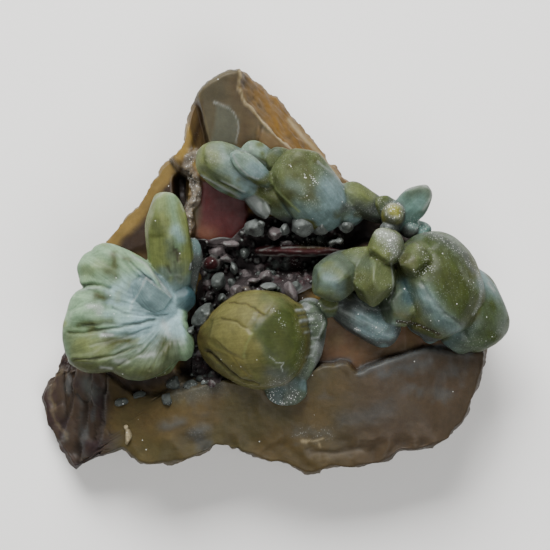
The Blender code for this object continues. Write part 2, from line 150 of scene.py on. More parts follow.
def rough(points: np.ndarray, size: float, octaves: int = 3, seed: int = 0) -> np.ndarray:
    """Bumpy noise in space.

    Args:
        points: where it is read, in mm.
        size: the size of the largest bumps, in mm.
        octaves: how many times the bumps are halved and added again.
        seed: a different seed gives other bumps.

    Returns:
        Numbers from -1 to 1: random values at the lattice points, joined by smooth S curves along X, Y and Z.
    """
    total = np.zeros(points.shape[:-1])
    amount = 0.0
    for octave in range(octaves):
        scaled = points * (2**octave / size) + 17.3 * octave
        cell = np.floor(scaled).astype(np.int64)
        share = scaled - cell
        share = share * share * (3.0 - 2.0 * share)
        value = np.zeros(points.shape[:-1])
        for corner in np.ndindex(2, 2, 2):
            weight = np.prod(np.where(corner, share, 1.0 - share), axis=-1)
            value += weight * cell_value(cell + np.array(corner), seed + octave)
        total += (2.0 * value - 1.0) * 0.5**octave
        amount += 0.5**octave
    return total / amount


def hackly(points: np.ndarray, size: float, octaves: int = 3, seed: int = 0) -> np.ndarray:
    """Sharp-crested noise, as on a broken face: 1 - 2 |noise|, from -1 to 1."""
    return 1.0 - 2.0 * np.abs(rough(points, size, octaves, seed)) * 1.6


def pebbles(points: np.ndarray, size: float, seed: int = 0) -> tuple[np.ndarray, np.ndarray]:
    """A packing of round cells in space.

    Args:
        points: where it is read, in mm.
        size: the distance between the cells' middles, in mm.
        seed: a different seed gives another packing.

    Returns:
        The distance to the nearest middle as a share of size, and a number from 0 to 1 for that cell.
    """
    scaled = points / size
    home = np.floor(scaled).astype(np.int64)
    nearest = np.full(points.shape[:-1], 9.0)
    number = np.zeros(points.shape[:-1])
    for step in np.ndindex(3, 3, 3):
        cell = home + np.array(step) - 1
        middle = np.stack([cell_value(cell, seed + axis) for axis in range(3)], axis=-1) + cell
        distance = np.linalg.norm(scaled - middle, axis=-1)
        closer = distance < nearest
        nearest = np.where(closer, distance, nearest)
        number = np.where(closer, cell_value(cell, seed + 5), number)
    return nearest, number


def line_distance(x: np.ndarray, y: np.ndarray, start: Place, end: Place) -> np.ndarray:
    """Distance in plan from the straight line between two points.

    Args:
        x: places along X.
        y: places along Y.
        start: one end of the line.
        end: the other end.

    Returns:
        The distance to the nearest point of the line.
    """
    run = (end[0] - start[0], end[1] - start[1])
    share = ((x - start[0]) * run[0] + (y - start[1]) * run[1]) / (run[0] ** 2 + run[1] ** 2)
    share = np.clip(share, 0.0, 1.0)
    return np.hypot(x - start[0] - share * run[0], y - start[1] - share * run[1])


def path_distance(x: np.ndarray, y: np.ndarray, path: Path) -> np.ndarray:
    """Distance in plan from a bent line: the least of the distances to its straight runs."""
    return np.min([line_distance(x, y, a, b) for a, b in zip(path, path[1:])], axis=0)


def inside(x: np.ndarray, y: np.ndarray, outline: Path, blur: float) -> np.ndarray:
    """How far places lie inside a closed outline.

    Args:
        x: places along X.
        y: places along Y.
        outline: the corners in turn.
        blur: half the width of the soft edge.

    Returns:
        1 inside and 0 outside, through an S across the edge. A place is inside where a line from it
        crosses an odd number of sides.
    """
    edge = path_distance(x, y, (*outline, outline[0]))
    odd = np.zeros(np.shape(x), bool)
    for (ax, ay), (bx, by) in zip(outline, (*outline[1:], outline[0])):
        crosses = (ay > y) != (by > y)
        height = by - ay if by != ay else 1.0
        odd ^= crosses & (x < (bx - ax) * (y - ay) / height + ax)
    return smoothstep(-blur, blur, np.where(odd, edge, -edge))


def outline_radius(angle: np.ndarray, outline: Path, centre: Place) -> np.ndarray:
    """Distance from a centre to a closed outline round it.

    Args:
        angle: directions from the centre, in radians.
        outline: the corners, each of which can be seen from the centre.
        centre: the point the directions start from.

    Returns:
        The corners' distances, joined by straight lines over the angle.
    """
    points = np.array(outline) - np.array(centre)
    angles = np.arctan2(points[:, 1], points[:, 0]) % (2 * math.pi)
    order = np.argsort(angles)
    radii = np.hypot(points[:, 0], points[:, 1])
    return np.interp(angle % (2 * math.pi), angles[order], radii[order], period=2 * math.pi)


def planed(body: np.ndarray, normals: list, limits: np.ndarray, soft: float) -> np.ndarray:
    """Cuts soft-edged flats on a body about the origin.

    Args:
        body: its points, with three numbers each in the last place.
        normals: the flats' directions, of any length.
        limits: how far from the origin each flat lies.
        soft: how wide the rounding at a flat's edge is.

    Returns:
        The points, each drawn back to every flat that it passes: p - n s log(1 + exp((p.n - d) / s)).
    """
    for normal, limit in zip(normals, limits):
        unit = np.array(normal) / np.linalg.norm(normal)
        body = body - unit * (soft * np.logaddexp(0.0, (body @ unit - limit) / soft))[..., None]
    return body


def ring(place: Place, radius: float) -> Path:
    """A closed path of twelve runs about a place."""
    turns = np.arange(13) * math.tau / 12
    return tuple((place[0] + radius * math.cos(t), place[1] + radius * math.sin(t)) for t in turns)


def link(name: str, data: bpy.types.ID) -> Object:
    """Links a new object, at the origin, that shows a mesh, a lamp or a camera."""
    made = bpy.data.objects.new(name, data)
    bpy.context.scene.collection.objects.link(made)
    return made


# Surfaces


@dataclass
class Skin:
    """A surface as points in mm and faces: four-sided ones, and three-sided ones round a pole."""

    points: np.ndarray
    quads: np.ndarray
    triangles: np.ndarray = field(default_factory=lambda: np.zeros((0, 3), np.int64))

    @classmethod
    def of_rings(cls, rings: np.ndarray, start: Point, end: Point) -> "Skin":
        """A closed surface: a stack of rings, closed by a pole at each end.

        Args:
            rings: points on a grid, row by ring and column round it.
            start: the pole before the first ring.
            end: the pole after the last.

        Returns:
            The skin, whose faces point out where the rings turn left seen from the end.
        """
        rows, columns = rings.shape[:2]
        index = np.arange(rows * columns).reshape(rows, columns) + 1
        after = np.roll(index, -1, axis=1)
        quads = np.stack([index[:-1], after[:-1], after[1:], index[1:]], axis=-1).reshape(-1, 4)
        last = rows * columns + 1
        first_fan = np.stack([np.zeros(columns, np.int64), after[0], index[0]], axis=-1)
        last_fan = np.stack([np.full(columns, last), index[-1], after[-1]], axis=-1)
        points = np.concatenate([[start], rings.reshape(-1, 3), [end]])
        return cls(points, quads, np.concatenate([first_fan, last_fan]))

    def spread_of(self, values: np.ndarray) -> np.ndarray:
        """Averages the neighbours of each point.

        Args:
            values: one or more numbers for each point.

        Returns:
            The mean over the points at the other ends of its edges.
        """
        flat = values.reshape(len(values), -1)
        total = np.zeros_like(flat)
        count = np.zeros(len(flat))
        for faces in (self.quads, self.triangles):
            for k in range(faces.shape[1]):
                here, there = faces[:, k], faces[:, (k + 1) % faces.shape[1]]
                for a, b in ((here, there), (there, here)):
                    count += np.bincount(a, minlength=len(flat))
                    for axis in range(flat.shape[1]):
                        total[:, axis] += np.bincount(a, flat[b, axis], minlength=len(flat))
        return (total / np.maximum(count, 1.0)[:, None]).reshape(values.shape)

    def relax(self, rounds: int, share: float) -> None:
        """Draws each point a share of the way to the mean of its neighbours, again and again."""
        for _ in range(rounds):
            self.points = self.points + (self.spread_of(self.points) - self.points) * share

    def normals(self) -> np.ndarray:
        """The directions out of the surface.

        Returns:
            Unit vectors: the cross products of the faces' diagonals, added up at each point.
        """
        total = np.zeros_like(self.points)
        for faces in (self.quads, self.triangles):
            corners = self.points[faces]
            cross = np.cross(corners[:, 2] - corners[:, 0], corners[:, -1] - corners[:, 1])
            for k in range(faces.shape[1]):
                for axis in range(3):
                    total[:, axis] += np.bincount(faces[:, k], cross[:, axis], minlength=len(total))
        length = np.linalg.norm(total, axis=1, keepdims=True)
        return total / np.maximum(length, 1e-12)

    def crests(self, rounds: int = 3) -> np.ndarray:
        """How far each point stands out of its neighbourhood.

        Args:
            rounds: how often the surface is smoothed to get the neighbourhood.

        Returns:
            The distance along the normal from the smoothed surface, in mm: cracks are below 0.
        """
        smooth = self.points
        for _ in range(rounds):
            smooth = self.spread_of(smooth)
        return ((self.points - smooth) * self.normals()).sum(axis=1)

    def push(self, distance: np.ndarray) -> None:
        """Moves each point along the normal by its own distance, in mm."""
        self.points = self.points + self.normals() * distance[:, None]

    def build(self, name: str, marks: Marks, material: Material | None = None) -> Object:
        """Makes the object.

        Args:
            name: the piece's name.
            marks: what the material reads at each point: a number, a vector, or a colour of four numbers.
            material: the piece's finish, if it has one.

        Returns:
            The linked object, at the origin.
        """
        mesh = bpy.data.meshes.new(name)
        mesh.vertices.add(len(self.points))
        mesh.vertices.foreach_set("co", (self.points * MM).astype(np.float32).ravel())
        corners = np.concatenate([self.quads.ravel(), self.triangles.ravel()]).astype(np.int32)
        counts = np.concatenate([np.full(len(self.quads), 4), np.full(len(self.triangles), 3)])
        mesh.loops.add(len(corners))
        mesh.loops.foreach_set("vertex_index", corners)
        mesh.polygons.add(len(counts))
        mesh.polygons.foreach_set("loop_start", (np.cumsum(counts) - counts).astype(np.int32))
        mesh.update(calc_edges=True)
        kinds = {1: ("FLOAT", "value"), 3: ("FLOAT_VECTOR", "vector"), 4: ("FLOAT_COLOR", "color")}
        for mark, values in marks.items():
            kind, slot = kinds[1 if values.ndim == 1 else values.shape[1]]
            layer = mesh.attributes.new(mark, kind, "POINT")
            layer.data.foreach_set(slot, values.astype(np.float32).ravel())
        mesh.shade_smooth()
        mesh.validate()
        if material:
            mesh.materials.append(material)
        return link(name, mesh)


def fuse(skins: list[Skin], voxel: float) -> Skin:
    """Fuses overlapping closed skins into one.

    Args:
        skins: the skins, in mm.
        voxel: the size of the new faces, in mm.

    Returns:
        One skin of even four-sided faces round everything that the old ones enclose.
    """
    starts = np.cumsum([0] + [len(skin.points) for skin in skins])
    joined = Skin(
        np.concatenate([skin.points for skin in skins]),
        np.concatenate([skin.quads + start for skin, start in zip(skins, starts)]),
        np.concatenate([skin.triangles + start for skin, start in zip(skins, starts)]),
    )
    joined.points = joined.points / MM  # a millimetre is one unit here, so the voxel needs no scaling
    block = joined.build("unfused", {})
    remesh = block.modifiers.new("fuse", "REMESH")
    remesh.mode = "VOXEL"
    remesh.voxel_size = voxel
    remesh.adaptivity = 0.0
    shape = block.evaluated_get(bpy.context.evaluated_depsgraph_get())
    mesh = shape.to_mesh()
    points = np.empty(len(mesh.vertices) * 3, np.float32)
    mesh.vertices.foreach_get("co", points)
    corners = np.empty(len(mesh.loops), np.int32)
    mesh.loops.foreach_get("vertex_index", corners)
    sizes = np.empty(len(mesh.polygons), np.int32)
    mesh.polygons.foreach_get("loop_total", sizes)
    shape.to_mesh_clear()
    old = block.data
    bpy.data.objects.remove(block)
    bpy.data.meshes.remove(old)
    first = np.cumsum(sizes) - sizes
    four, three = first[sizes == 4], first[sizes == 3]
    quads = corners[four[:, None] + np.arange(4)].astype(np.int64)
    triangles = corners[three[:, None] + np.arange(3)].astype(np.int64)
    return Skin(points.reshape(-1, 3).astype(float), quads, triangles)


# Finishes


class Nodes:
    """A short way to add and join shader nodes in one tree."""

    def __init__(self, tree: NodeTree) -> None:
        """Keeps the tree."""
        self.tree = tree

    def add(self, kind: str, inputs: dict | None = None, **settings: object) -> Node:
        """Adds a node.

        Args:
            kind: the node's type, without its leading word ShaderNode.
            inputs: for each input by name or number, a value or the output that feeds it.
            settings: the node's own settings.

        Returns:
            The node.
        """
        full = kind if kind.startswith("NodeGroup") else "ShaderNode" + kind
        node = self.tree.nodes.new(full)
        for key, value in settings.items():
            setattr(node, key, value)
        for key, value in (inputs or {}).items():
            if isinstance(value, NodeSocket):
                self.tree.links.new(value, node.inputs[key])
            else:
                node.inputs[key].default_value = value
        return node

    def maths(self, operation: str, first: object, second: object = 0.0) -> NodeSocket:
        """One sum on two values, each a number or a socket."""
        return self.add("Math", {0: first, 1: second}, operation=operation).outputs[0]

    def mix(self, share: object, first: object, second: object, how: str = "MIX") -> NodeSocket:
        """Mixes two colours by a share, and returns the result's socket."""
        inputs = {0: share, 6: first, 7: second}
        return self.add("Mix", inputs, data_type="RGBA", blend_type=how, clamp_factor=True).outputs[2]

    def step(self, value: object, low: float, high: float, to: tuple[float, float] = (0.0, 1.0)) -> object:
        """A smooth S of a value from low to high, put out between two numbers."""
        inputs = {"Value": value, "From Min": low, "From Max": high, "To Min": to[0], "To Max": to[1]}
        return self.add("MapRange", inputs, interpolation_type="SMOOTHSTEP").outputs[0]

    def group(self, tree: NodeTree, inputs: dict) -> NodeSocket:
        """Places a node group with its own values, and returns its only output."""
        return self.add("Group", inputs, node_tree=tree).outputs[0]


def new_group(name: str, takes: dict[str, str], gives: tuple[str, str]) -> tuple[Nodes, dict, NodeSocket]:
    """Starts a shader node group.

    Args:
        name: the group's name.
        takes: its inputs, name to socket type.
        gives: its one output's name and socket type.

    Returns:
        The helper that fills the group, its inputs' sockets by name, and the socket its result goes to.
    """
    tree = bpy.data.node_groups.new(name, "ShaderNodeTree")
    for label, kind in takes.items():
        tree.interface.new_socket(name=label, in_out="INPUT", socket_type="NodeSocket" + kind)
    tree.interface.new_socket(name=gives[0], in_out="OUTPUT", socket_type="NodeSocket" + gives[1])
    nodes = Nodes(tree)
    return nodes, nodes.add("NodeGroupInput").outputs, nodes.add("NodeGroupOutput").inputs[0]


@cache
def cloud_group() -> NodeTree:
    """Cloudy shading that lightens and darkens a colour.

    Returns:
        A group: the colour times 1 + Amount * noise, where the noise runs from -1 to 1 over Size metres.
    """
    takes = {"Vector": "Vector", "Colour": "Color", "Size": "Float", "Amount": "Float"}
    nodes, taken, result = new_group("clouds", takes, ("Colour", "Color"))
    inputs = {"Vector": taken["Vector"], "Scale": nodes.maths("DIVIDE", 1.0, taken["Size"])}
    noise = nodes.add("TexNoise", inputs | {"Detail": 5.0, "Roughness": 0.6, "Distortion": 0.4})
    swing = nodes.step(noise.outputs[0], 0.25, 0.75, (-1.0, 1.0))
    factor = nodes.maths("ADD", nodes.maths("MULTIPLY", swing, taken["Amount"]), 1.0)
    shaded = nodes.add("VectorMath", {0: taken["Colour"], "Scale": factor}, operation="SCALE")
    nodes.tree.links.new(shaded.outputs[0], result)
    return nodes.tree


@cache
def glitter_group() -> NodeTree:
    """Scattered tiny specks.

    Returns:
        A group whose Mask is 1 on specks: cells Size metres apart, of which only some, by Share, hold one.
    """
    takes = {"Vector": "Vector", "Size": "Float", "Share": "Float"}
    nodes, taken, result = new_group("glitter", takes, ("Mask", "Float"))
    scale = nodes.maths("DIVIDE", 1.0, taken["Size"])
    cells = nodes.add("TexVoronoi", {"Vector": taken["Vector"], "Scale": scale, "Randomness": 1.0})
    near = nodes.step(cells.outputs["Distance"], 0.20, 0.40, (1.0, 0.0))
    pick = nodes.add("SeparateColor", {0: cells.outputs["Color"]}).outputs[0]
    kept = nodes.maths("LESS_THAN", pick, taken["Share"])
    nodes.tree.links.new(nodes.maths("MULTIPLY", near, kept), result)
    return nodes.tree


@cache
def grain_group() -> NodeTree:
    """Fine surface grain.

    Returns:
        A group whose Height mixes noise over Size metres with noise a quarter of that size.
    """
    nodes, taken, result = new_group("grain", {"Vector": "Vector", "Size": "Float"}, ("Height", "Float"))
    scale = nodes.maths("DIVIDE", 1.0, taken["Size"])
    coarse = nodes.add("TexNoise", {"Vector": taken["Vector"], "Scale": scale, "Detail": 3.0})
    finer = nodes.maths("MULTIPLY", scale, 4.0)
    fine = nodes.add("TexNoise", {"Vector": taken["Vector"], "Scale": finer, "Detail": 2.0})
    total = nodes.maths("ADD", coarse.outputs[0], nodes.maths("MULTIPLY", fine.outputs[0], 0.35))
    nodes.tree.links.new(total, result)
    return nodes.tree


@dataclass(frozen=True)
class Finish:
    """A waxy mineral finish that reads the piece's own colour marks.

    The mark tint is the colour, with painted shade in the cracks on most pieces, lie is the way a crystal's
    fibres run, frost is where tiny crystals sparkle, painted as white glints, and the fourth mark is where an
    edge stands out and takes a painted highlight.
    """

    name: str
    clear: float  # how much light goes in and comes out again
    reach: Point  # how far that light gets, in mm, for red, green and blue
    shine: float  # roughness where the surface is smooth
    dull: float  # roughness where it is frosted
    coat: float
    cloud: float  # size of the cloudy shading, in mm
    cloud_depth: float
    fibre: float  # depth of the fine streaks along a crystal
    specks: float  # share of cells that hold a bright speck where there is no frost
    grain: float = 0.16  # size of the fine grain, in mm
    bump: float = 0.4
    # the colour and share of the painted highlight where an edge stands out
    edge: Hue = Hue.SILVER
    highlight_share: float = 0.36
    coat_rough: float = 0.22
    gloss: float = 0.16  # the shader's specular level
    speck_size: float = 0.28  # the size of the cells that hold the scattered specks, in mm
    frost_size: float = 0.24  # the size of those that hold the frost's
    frost_cells: float = 0.5  # share of the frost's cells that hold a speck
    # the colour of the specks, which are painted white glints
    glint_colour: tuple[float, float, float, float] = (0.92, 0.94, 0.90, 1.0)
    bump_height: float = 0.06  # how high the bump's whole range stands, in mm
    patch_size: float = 1.3  # the size of the patches of more and less gloss, in mm
    fibre_scale: Point = (3.4, 0.22, 1.0)  # streaks to a millimetre across a crystal and along it

    def material(self) -> Material:
        """Makes the material.

        Returns:
            A Principled material. Its colour is tint times cloud and streak noise, then mixed towards the
            edge's colour where an edge stands out, a painted highlight, and towards white by the specks,
            painted glints.
        """
        made = bpy.data.materials.new(self.name)
        made.use_nodes = True
        nodes = Nodes(made.node_tree)
        shader = made.node_tree.nodes["Principled BSDF"]
        where = nodes.add("TexCoord").outputs["Object"]
        names = ("tint", "lie", "frost", "rim_highlight")
        tint, lie, frost, rim_highlight = (nodes.add("Attribute", attribute_name=name).outputs for name in names)
        colour, frost = tint["Color"], frost["Fac"]
        for finer, weaker in ((1.0, 1.0), (0.22, 0.6)):
            inputs = {"Vector": where, "Colour": colour, "Size": self.cloud * MM * finer}
            colour = nodes.group(cloud_group(), inputs | {"Amount": self.cloud_depth * weaker})
        along = nodes.add("Mapping", {"Vector": lie["Vector"], "Scale": self.fibre_scale})
        streak = nodes.add("TexNoise", {"Vector": along.outputs[0], "Scale": 1.0, "Detail": 4.0}).outputs[0]
        factor = nodes.step(streak, 0.3, 0.7, (1.0 - self.fibre, 1.0 + self.fibre))
        streaked = nodes.add("VectorMath", {0: colour, "Scale": factor}, operation="SCALE").outputs[0]
        # painted highlight: the colour drawn towards the edge's hue where an edge stands out
        edge = nodes.maths("MULTIPLY", nodes.step(rim_highlight["Fac"], 0.0, 1.0), self.highlight_share)
        colour = nodes.mix(edge, streaked, (*self.edge.linear(), 1.0))
        # The specks: white dots laid into the colour as painted glints for tiny crystals that sparkle, thick
        # where the surface is frosted and few elsewhere.
        few, many = (
            nodes.group(glitter_group(), {"Vector": where, "Size": size * MM, "Share": share})
            for size, share in ((self.speck_size, self.specks), (self.frost_size, self.frost_cells))
        )
        few, many = nodes.maths("MULTIPLY", few, 0.6), nodes.maths("MULTIPLY", many, frost)
        glint_speck = nodes.maths("MAXIMUM", few, many)
        colour = nodes.mix(nodes.maths("MULTIPLY", glint_speck, 0.9), colour, self.glint_colour)
        patchy = nodes.group(grain_group(), {"Vector": where, "Size": self.patch_size * MM})
        smooth = nodes.step(patchy, 0.45, 0.9, (self.shine - 0.06, self.shine + 0.08))
        dulled = nodes.maths("MULTIPLY", frost, self.dull - self.shine)
        height = nodes.group(grain_group(), {"Vector": where, "Size": self.grain * MM})
        height = nodes.maths("ADD", height, nodes.maths("MULTIPLY", streak, self.fibre * 4.0))
        height = nodes.maths("ADD", height, nodes.maths("MULTIPLY", glint_speck, 1.2))
        bump = nodes.add("Bump", {"Strength": self.bump, "Distance": self.bump_height * MM, "Height": height})
        for label, socket in (
            ("Base Color", colour),
            ("Roughness", nodes.maths("ADD", smooth, dulled)),
            ("Normal", bump.outputs[0]),
        ):
            made.node_tree.links.new(socket, shader.inputs[label])
        for label, value in (
            ("Metallic", 0.0),
            ("Subsurface Weight", self.clear),
            ("Subsurface Radius", self.reach),
            ("Subsurface Scale", MM),
            ("Coat Weight", self.coat),
            ("Coat Roughness", self.coat_rough),
            ("Specular IOR Level", self.gloss),
        ):
            shader.inputs[label].default_value = value
        return made


CRYSTAL_FINISH = Finish("waxy_crystal", 0.30, (0.6, 0.8, 0.6), 0.48, 0.5, 0.04, 1.7, 0.20, 0.10, 0.004)
FAN_FINISH = Finish("pale_waxy_crystal", 0.32, (0.6, 0.8, 0.7), 0.48, 0.5, 0.04, 1.5, 0.18, 0.12, 0.003)
DARK_FINISH = Finish("dark_waxy_crystal", 0.25, (0.5, 0.8, 0.5), 0.46, 0.5, 0.05, 1.9, 0.20, 0.12, 0.006)
STONE_FINISH = Finish(
    "waxy_stone", 0.12, (0.8, 0.5, 0.25), 0.52, 0.6, 0.03, 3.2, 0.16, 0.0, 0.0015, 0.22, 0.4, Hue.CREAM, 0.12
)
CRUST_FINISH = Finish(
    "dark_crust", 0.12, (0.5, 0.4, 0.4), 0.60, 0.6, 0.0, 0.9, 0.25, 0.0, 0.012, 0.12, 0.8, highlight_share=0.50
)


def shaded(colour: np.ndarray, crest: np.ndarray, crack: float, shade: float) -> np.ndarray:
    """Colours of four numbers, with painted shade darkening the cracks.

    Args:
        colour: linear red, green and blue at each point.
        crest: how far each point stands out, in mm.
        crack: how far a point has to lie below its neighbourhood to be darkest, in mm.
        shade: how much darker it is there.

    Returns:
        The colour times 1 - shade S, where S rises from a crest of 0 to one of -crack.
    """
    tint = np.ones((len(colour), 4))
    tint[:, :3] = colour[:, :3] * (1.0 - shade * smoothstep(0.0, -crack, crest))[:, None]
    return tint


def settle(piece: Object, node: str | None) -> Object:
    """Puts a piece on the specimen.

    Args:
        piece: the finished object.
        node: the CAD node it stands for, if there is one.

    Returns:
        The same object.
    """
    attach(piece, "root")
    if node:
        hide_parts(node)
    LOG.info("%s: %d points, %d faces", piece.name, len(piece.data.vertices), len(piece.data.polygons))
    return piece


# Details laid on a piece


@dataclass(frozen=True)
class Detail:
    """A groove, a step, a stain, a dusting, a painted glint or a patch of painted shade on the upper side of
    a piece, laid out in plan.

    Its share at a place is exp(-(d / reach)^2), where d is the distance from its bent line, or for a filled
    one an S across its closed outline.
    """

    path: Path
    reach: float
    hue: Hue | None = None
    depth: float = 0.8  # how much of its hue it lays on
    lift: float = 0.0  # how far it stands out, in mm, or sinks where below 0
    frost: float = 0.0
    filled: bool = False
    shake: float = 0.15  # how far noise moves its edge, in mm

    def share(self, x: np.ndarray, y: np.ndarray) -> np.ndarray:
        """Its share from 0 to 1 at places in plan."""
        if self.filled:
            return inside(x, y, self.path, self.reach)
        return np.exp(-((path_distance(x, y, self.path) / self.reach) ** 2))


def lay(skin: Skin, details: tuple[Detail, ...], marks: Marks) -> np.ndarray:
    """Lays details on a piece, one over the other.

    Args:
        skin: the piece's surface.
        details: the details in turn.
        marks: the piece's marks, of which tint and frost are changed.

    Returns:
        How far each point is to be lifted along its normal, in mm.
    """
    noise = [rough(skin.points, 1.0, 3, seed) for seed in (91, 92)]
    facing = smoothstep(-0.1, 0.35, skin.normals()[:, 2])
    lift = np.zeros(len(skin.points))
    for detail in details:
        x, y = skin.points[:, 0] + detail.shake * noise[0], skin.points[:, 1] + detail.shake * noise[1]
        share = detail.share(x, y) * facing
        if detail.hue:
            marks["tint"][:, :3] = blend(marks["tint"][:, :3], detail.hue, share * detail.depth)
        marks["frost"] = np.maximum(marks["frost"], share * detail.frost)
        lift += detail.lift * share
    return lift


# Crystals


@dataclass(frozen=True)
class Look:
    """How one kind of crystal is coloured and ribbed from its root to its cap."""

    root: Hue
    cap: Hue
    patch: Hue
    patches: float = 0.3  # share of the surface that the patches cover
    turnover: tuple[float, float] = (0.25, 0.75)  # where along the crystal the root's colour gives way
    ribs: int = 9
    rib_depth: float = 0.10
    lumps: float = 0.16
    frost: float = 0.0
    flats: float = 1.0  # how far out the worn flats lie, as a share of the crystal's half size


FAN_LOBE = Look(Hue.ICE, Hue.PALE_GREEN, Hue.OLIVE, 0.22, (0.45, 0.8), 12, 0.16, 0.22)
FAN_RIM = Look(Hue.ICE, Hue.PALE_MINT, Hue.OLIVE, 0.16, (0.45, 0.8), 12, 0.14, 0.22)
FAN_TONGUE = Look(Hue.SKY_GREY, Hue.YELLOW_GREEN, Hue.PALE_GREEN, 0.35, (0.2, 0.5), 7, 0.06, 0.12)
FAN_SIDE = Look(Hue.SMOKE, Hue.SMOKE, Hue.SKY_GREY, 0.4, (0.2, 0.7), 8, 0.18, 0.45, 0.35)
FAN_SHEET = Look(Hue.ICE, Hue.SKY_GREY, Hue.ICE, 0.3, (0.2, 0.8), 5, 0.05, 0.08)
FAN_SHELL = Look(Hue.ICE, Hue.PALE_MINT, Hue.PALE_GREEN, 0.35, (0.42, 0.78))
FAN_BULGE = Look(Hue.SKY_GREY, Hue.DEEP_TEAL, Hue.SKY_GREY, 0.3, (0.4, 0.9), 5, 0.05, 0.10)
DOME = Look(Hue.AMBER_GREEN, Hue.STRAW, Hue.OLIVE, 0.2, (0.1, 0.4), 20, 0.05, 0.14, 0.0, 1.09)
SKIRT = Look(Hue.ASH, Hue.GREY_GREEN, Hue.ASH, 0.45, (0.2, 0.8), 16, 0.16, 0.10, 0.20)
LOW_SKIRT = Look(Hue.OLIVE, Hue.GREY_GREEN, Hue.SKY_GREY, 0.5, (0.2, 0.8), 12, 0.14, 0.15, 0.15)
DOME_SHADE = Look(Hue.OLIVE, Hue.AMBER_GREEN, Hue.OLIVE, 0.4, (0.2, 0.8), 14, 0.14, 0.12)
TONGUE = Look(Hue.SKY_GREY, Hue.YELLOW_GREEN, Hue.LEAF, 0.4, (0.45, 0.85), 7, 0.06, 0.12, 0.05)
SMALL_TONGUE = Look(Hue.SKY_GREY, Hue.MINT, Hue.LEAF, 0.35, (0.3, 0.8), 7, 0.06, 0.1, 0.05)
BIG_LOBE = Look(Hue.SKY_GREY, Hue.LEAF, Hue.OLIVE, 0.4, (0.35, 0.75), 8, 0.08, 0.16, 0.08)
SLOPE = Look(Hue.SMOKE, Hue.LEAF, Hue.GREY_GREEN, 0.4, (0.3, 0.7), 8, 0.08, 0.18, 0.10)
PLATE = Look(Hue.SMOKE, Hue.SMOKE, Hue.PLUM, 0.35, (0.2, 0.8), 5, 0.04, 0.08)
WING = Look(Hue.TEAL, Hue.GREY_GREEN, Hue.TEAL, 0.3, (0.45, 0.9), 7, 0.06, 0.10, 0.05)
TEAL_PIECE = Look(Hue.TEAL, Hue.TEAL, Hue.SKY_GREY, 0.3, (0.3, 0.8), 6, 0.08, 0.16, 0.2)
GLASS_BALL = Look(Hue.SMOKE, Hue.LEMON, Hue.LEMON, 0.3, (0.55, 0.95), 6, 0.05, 0.10, 0.15)
GREY_BALL = Look(Hue.SMOKE, Hue.ASH, Hue.LILAC_GREY, 0.4, (0.3, 0.8), 5, 0.05, 0.12, 0.15)
BARREL = Look(Hue.SMOKE, Hue.GREY_GREEN, Hue.LEAF, 0.45, (0.1, 0.6), 6, 0.06, 0.12, 0.06, 0.96)
GREEN_BARREL = Look(Hue.SMOKE, Hue.LEAF, Hue.OLIVE, 0.4, (0.1, 0.6), 6, 0.06, 0.12, 0.10, 0.96)
SUGARED = Look(Hue.SMOKE, Hue.LEAF, Hue.YELLOW_GREEN, 0.4, (0.1, 0.6), 6, 0.05, 0.14, 0.2, 0.97)
DARK_DOME = Look(Hue.GREY_GREEN, Hue.OLIVE, Hue.MOSS, 0.45, (0.05, 0.45), 13, 0.07, 0.16, 0.08)
FAR_LOBE = Look(Hue.SKY_GREY, Hue.GREY_GREEN, Hue.MOSS, 0.4, (0.2, 0.9), 13, 0.08, 0.15, 0.08)
BLUE_LOBE = Look(Hue.SMOKE, Hue.SMOKE, Hue.SKY_GREY, 0.5, (0.1, 0.7), 13, 0.10, 0.12, 0.12)
BLADE = Look(Hue.RED_GLASS, Hue.PLUM, Hue.OXBLOOD, 0.5)
PALE_BALL = Look(Hue.SMOKE, Hue.SKY_GREY, Hue.SKY_GREY, 0.3, (0.1, 0.7), 5, 0.03, 0.06, 0.15)


FLAT_ROOM = (1.10, 1.10, 1.05)  # how much bigger a body is before its flats are cut, across, above and along


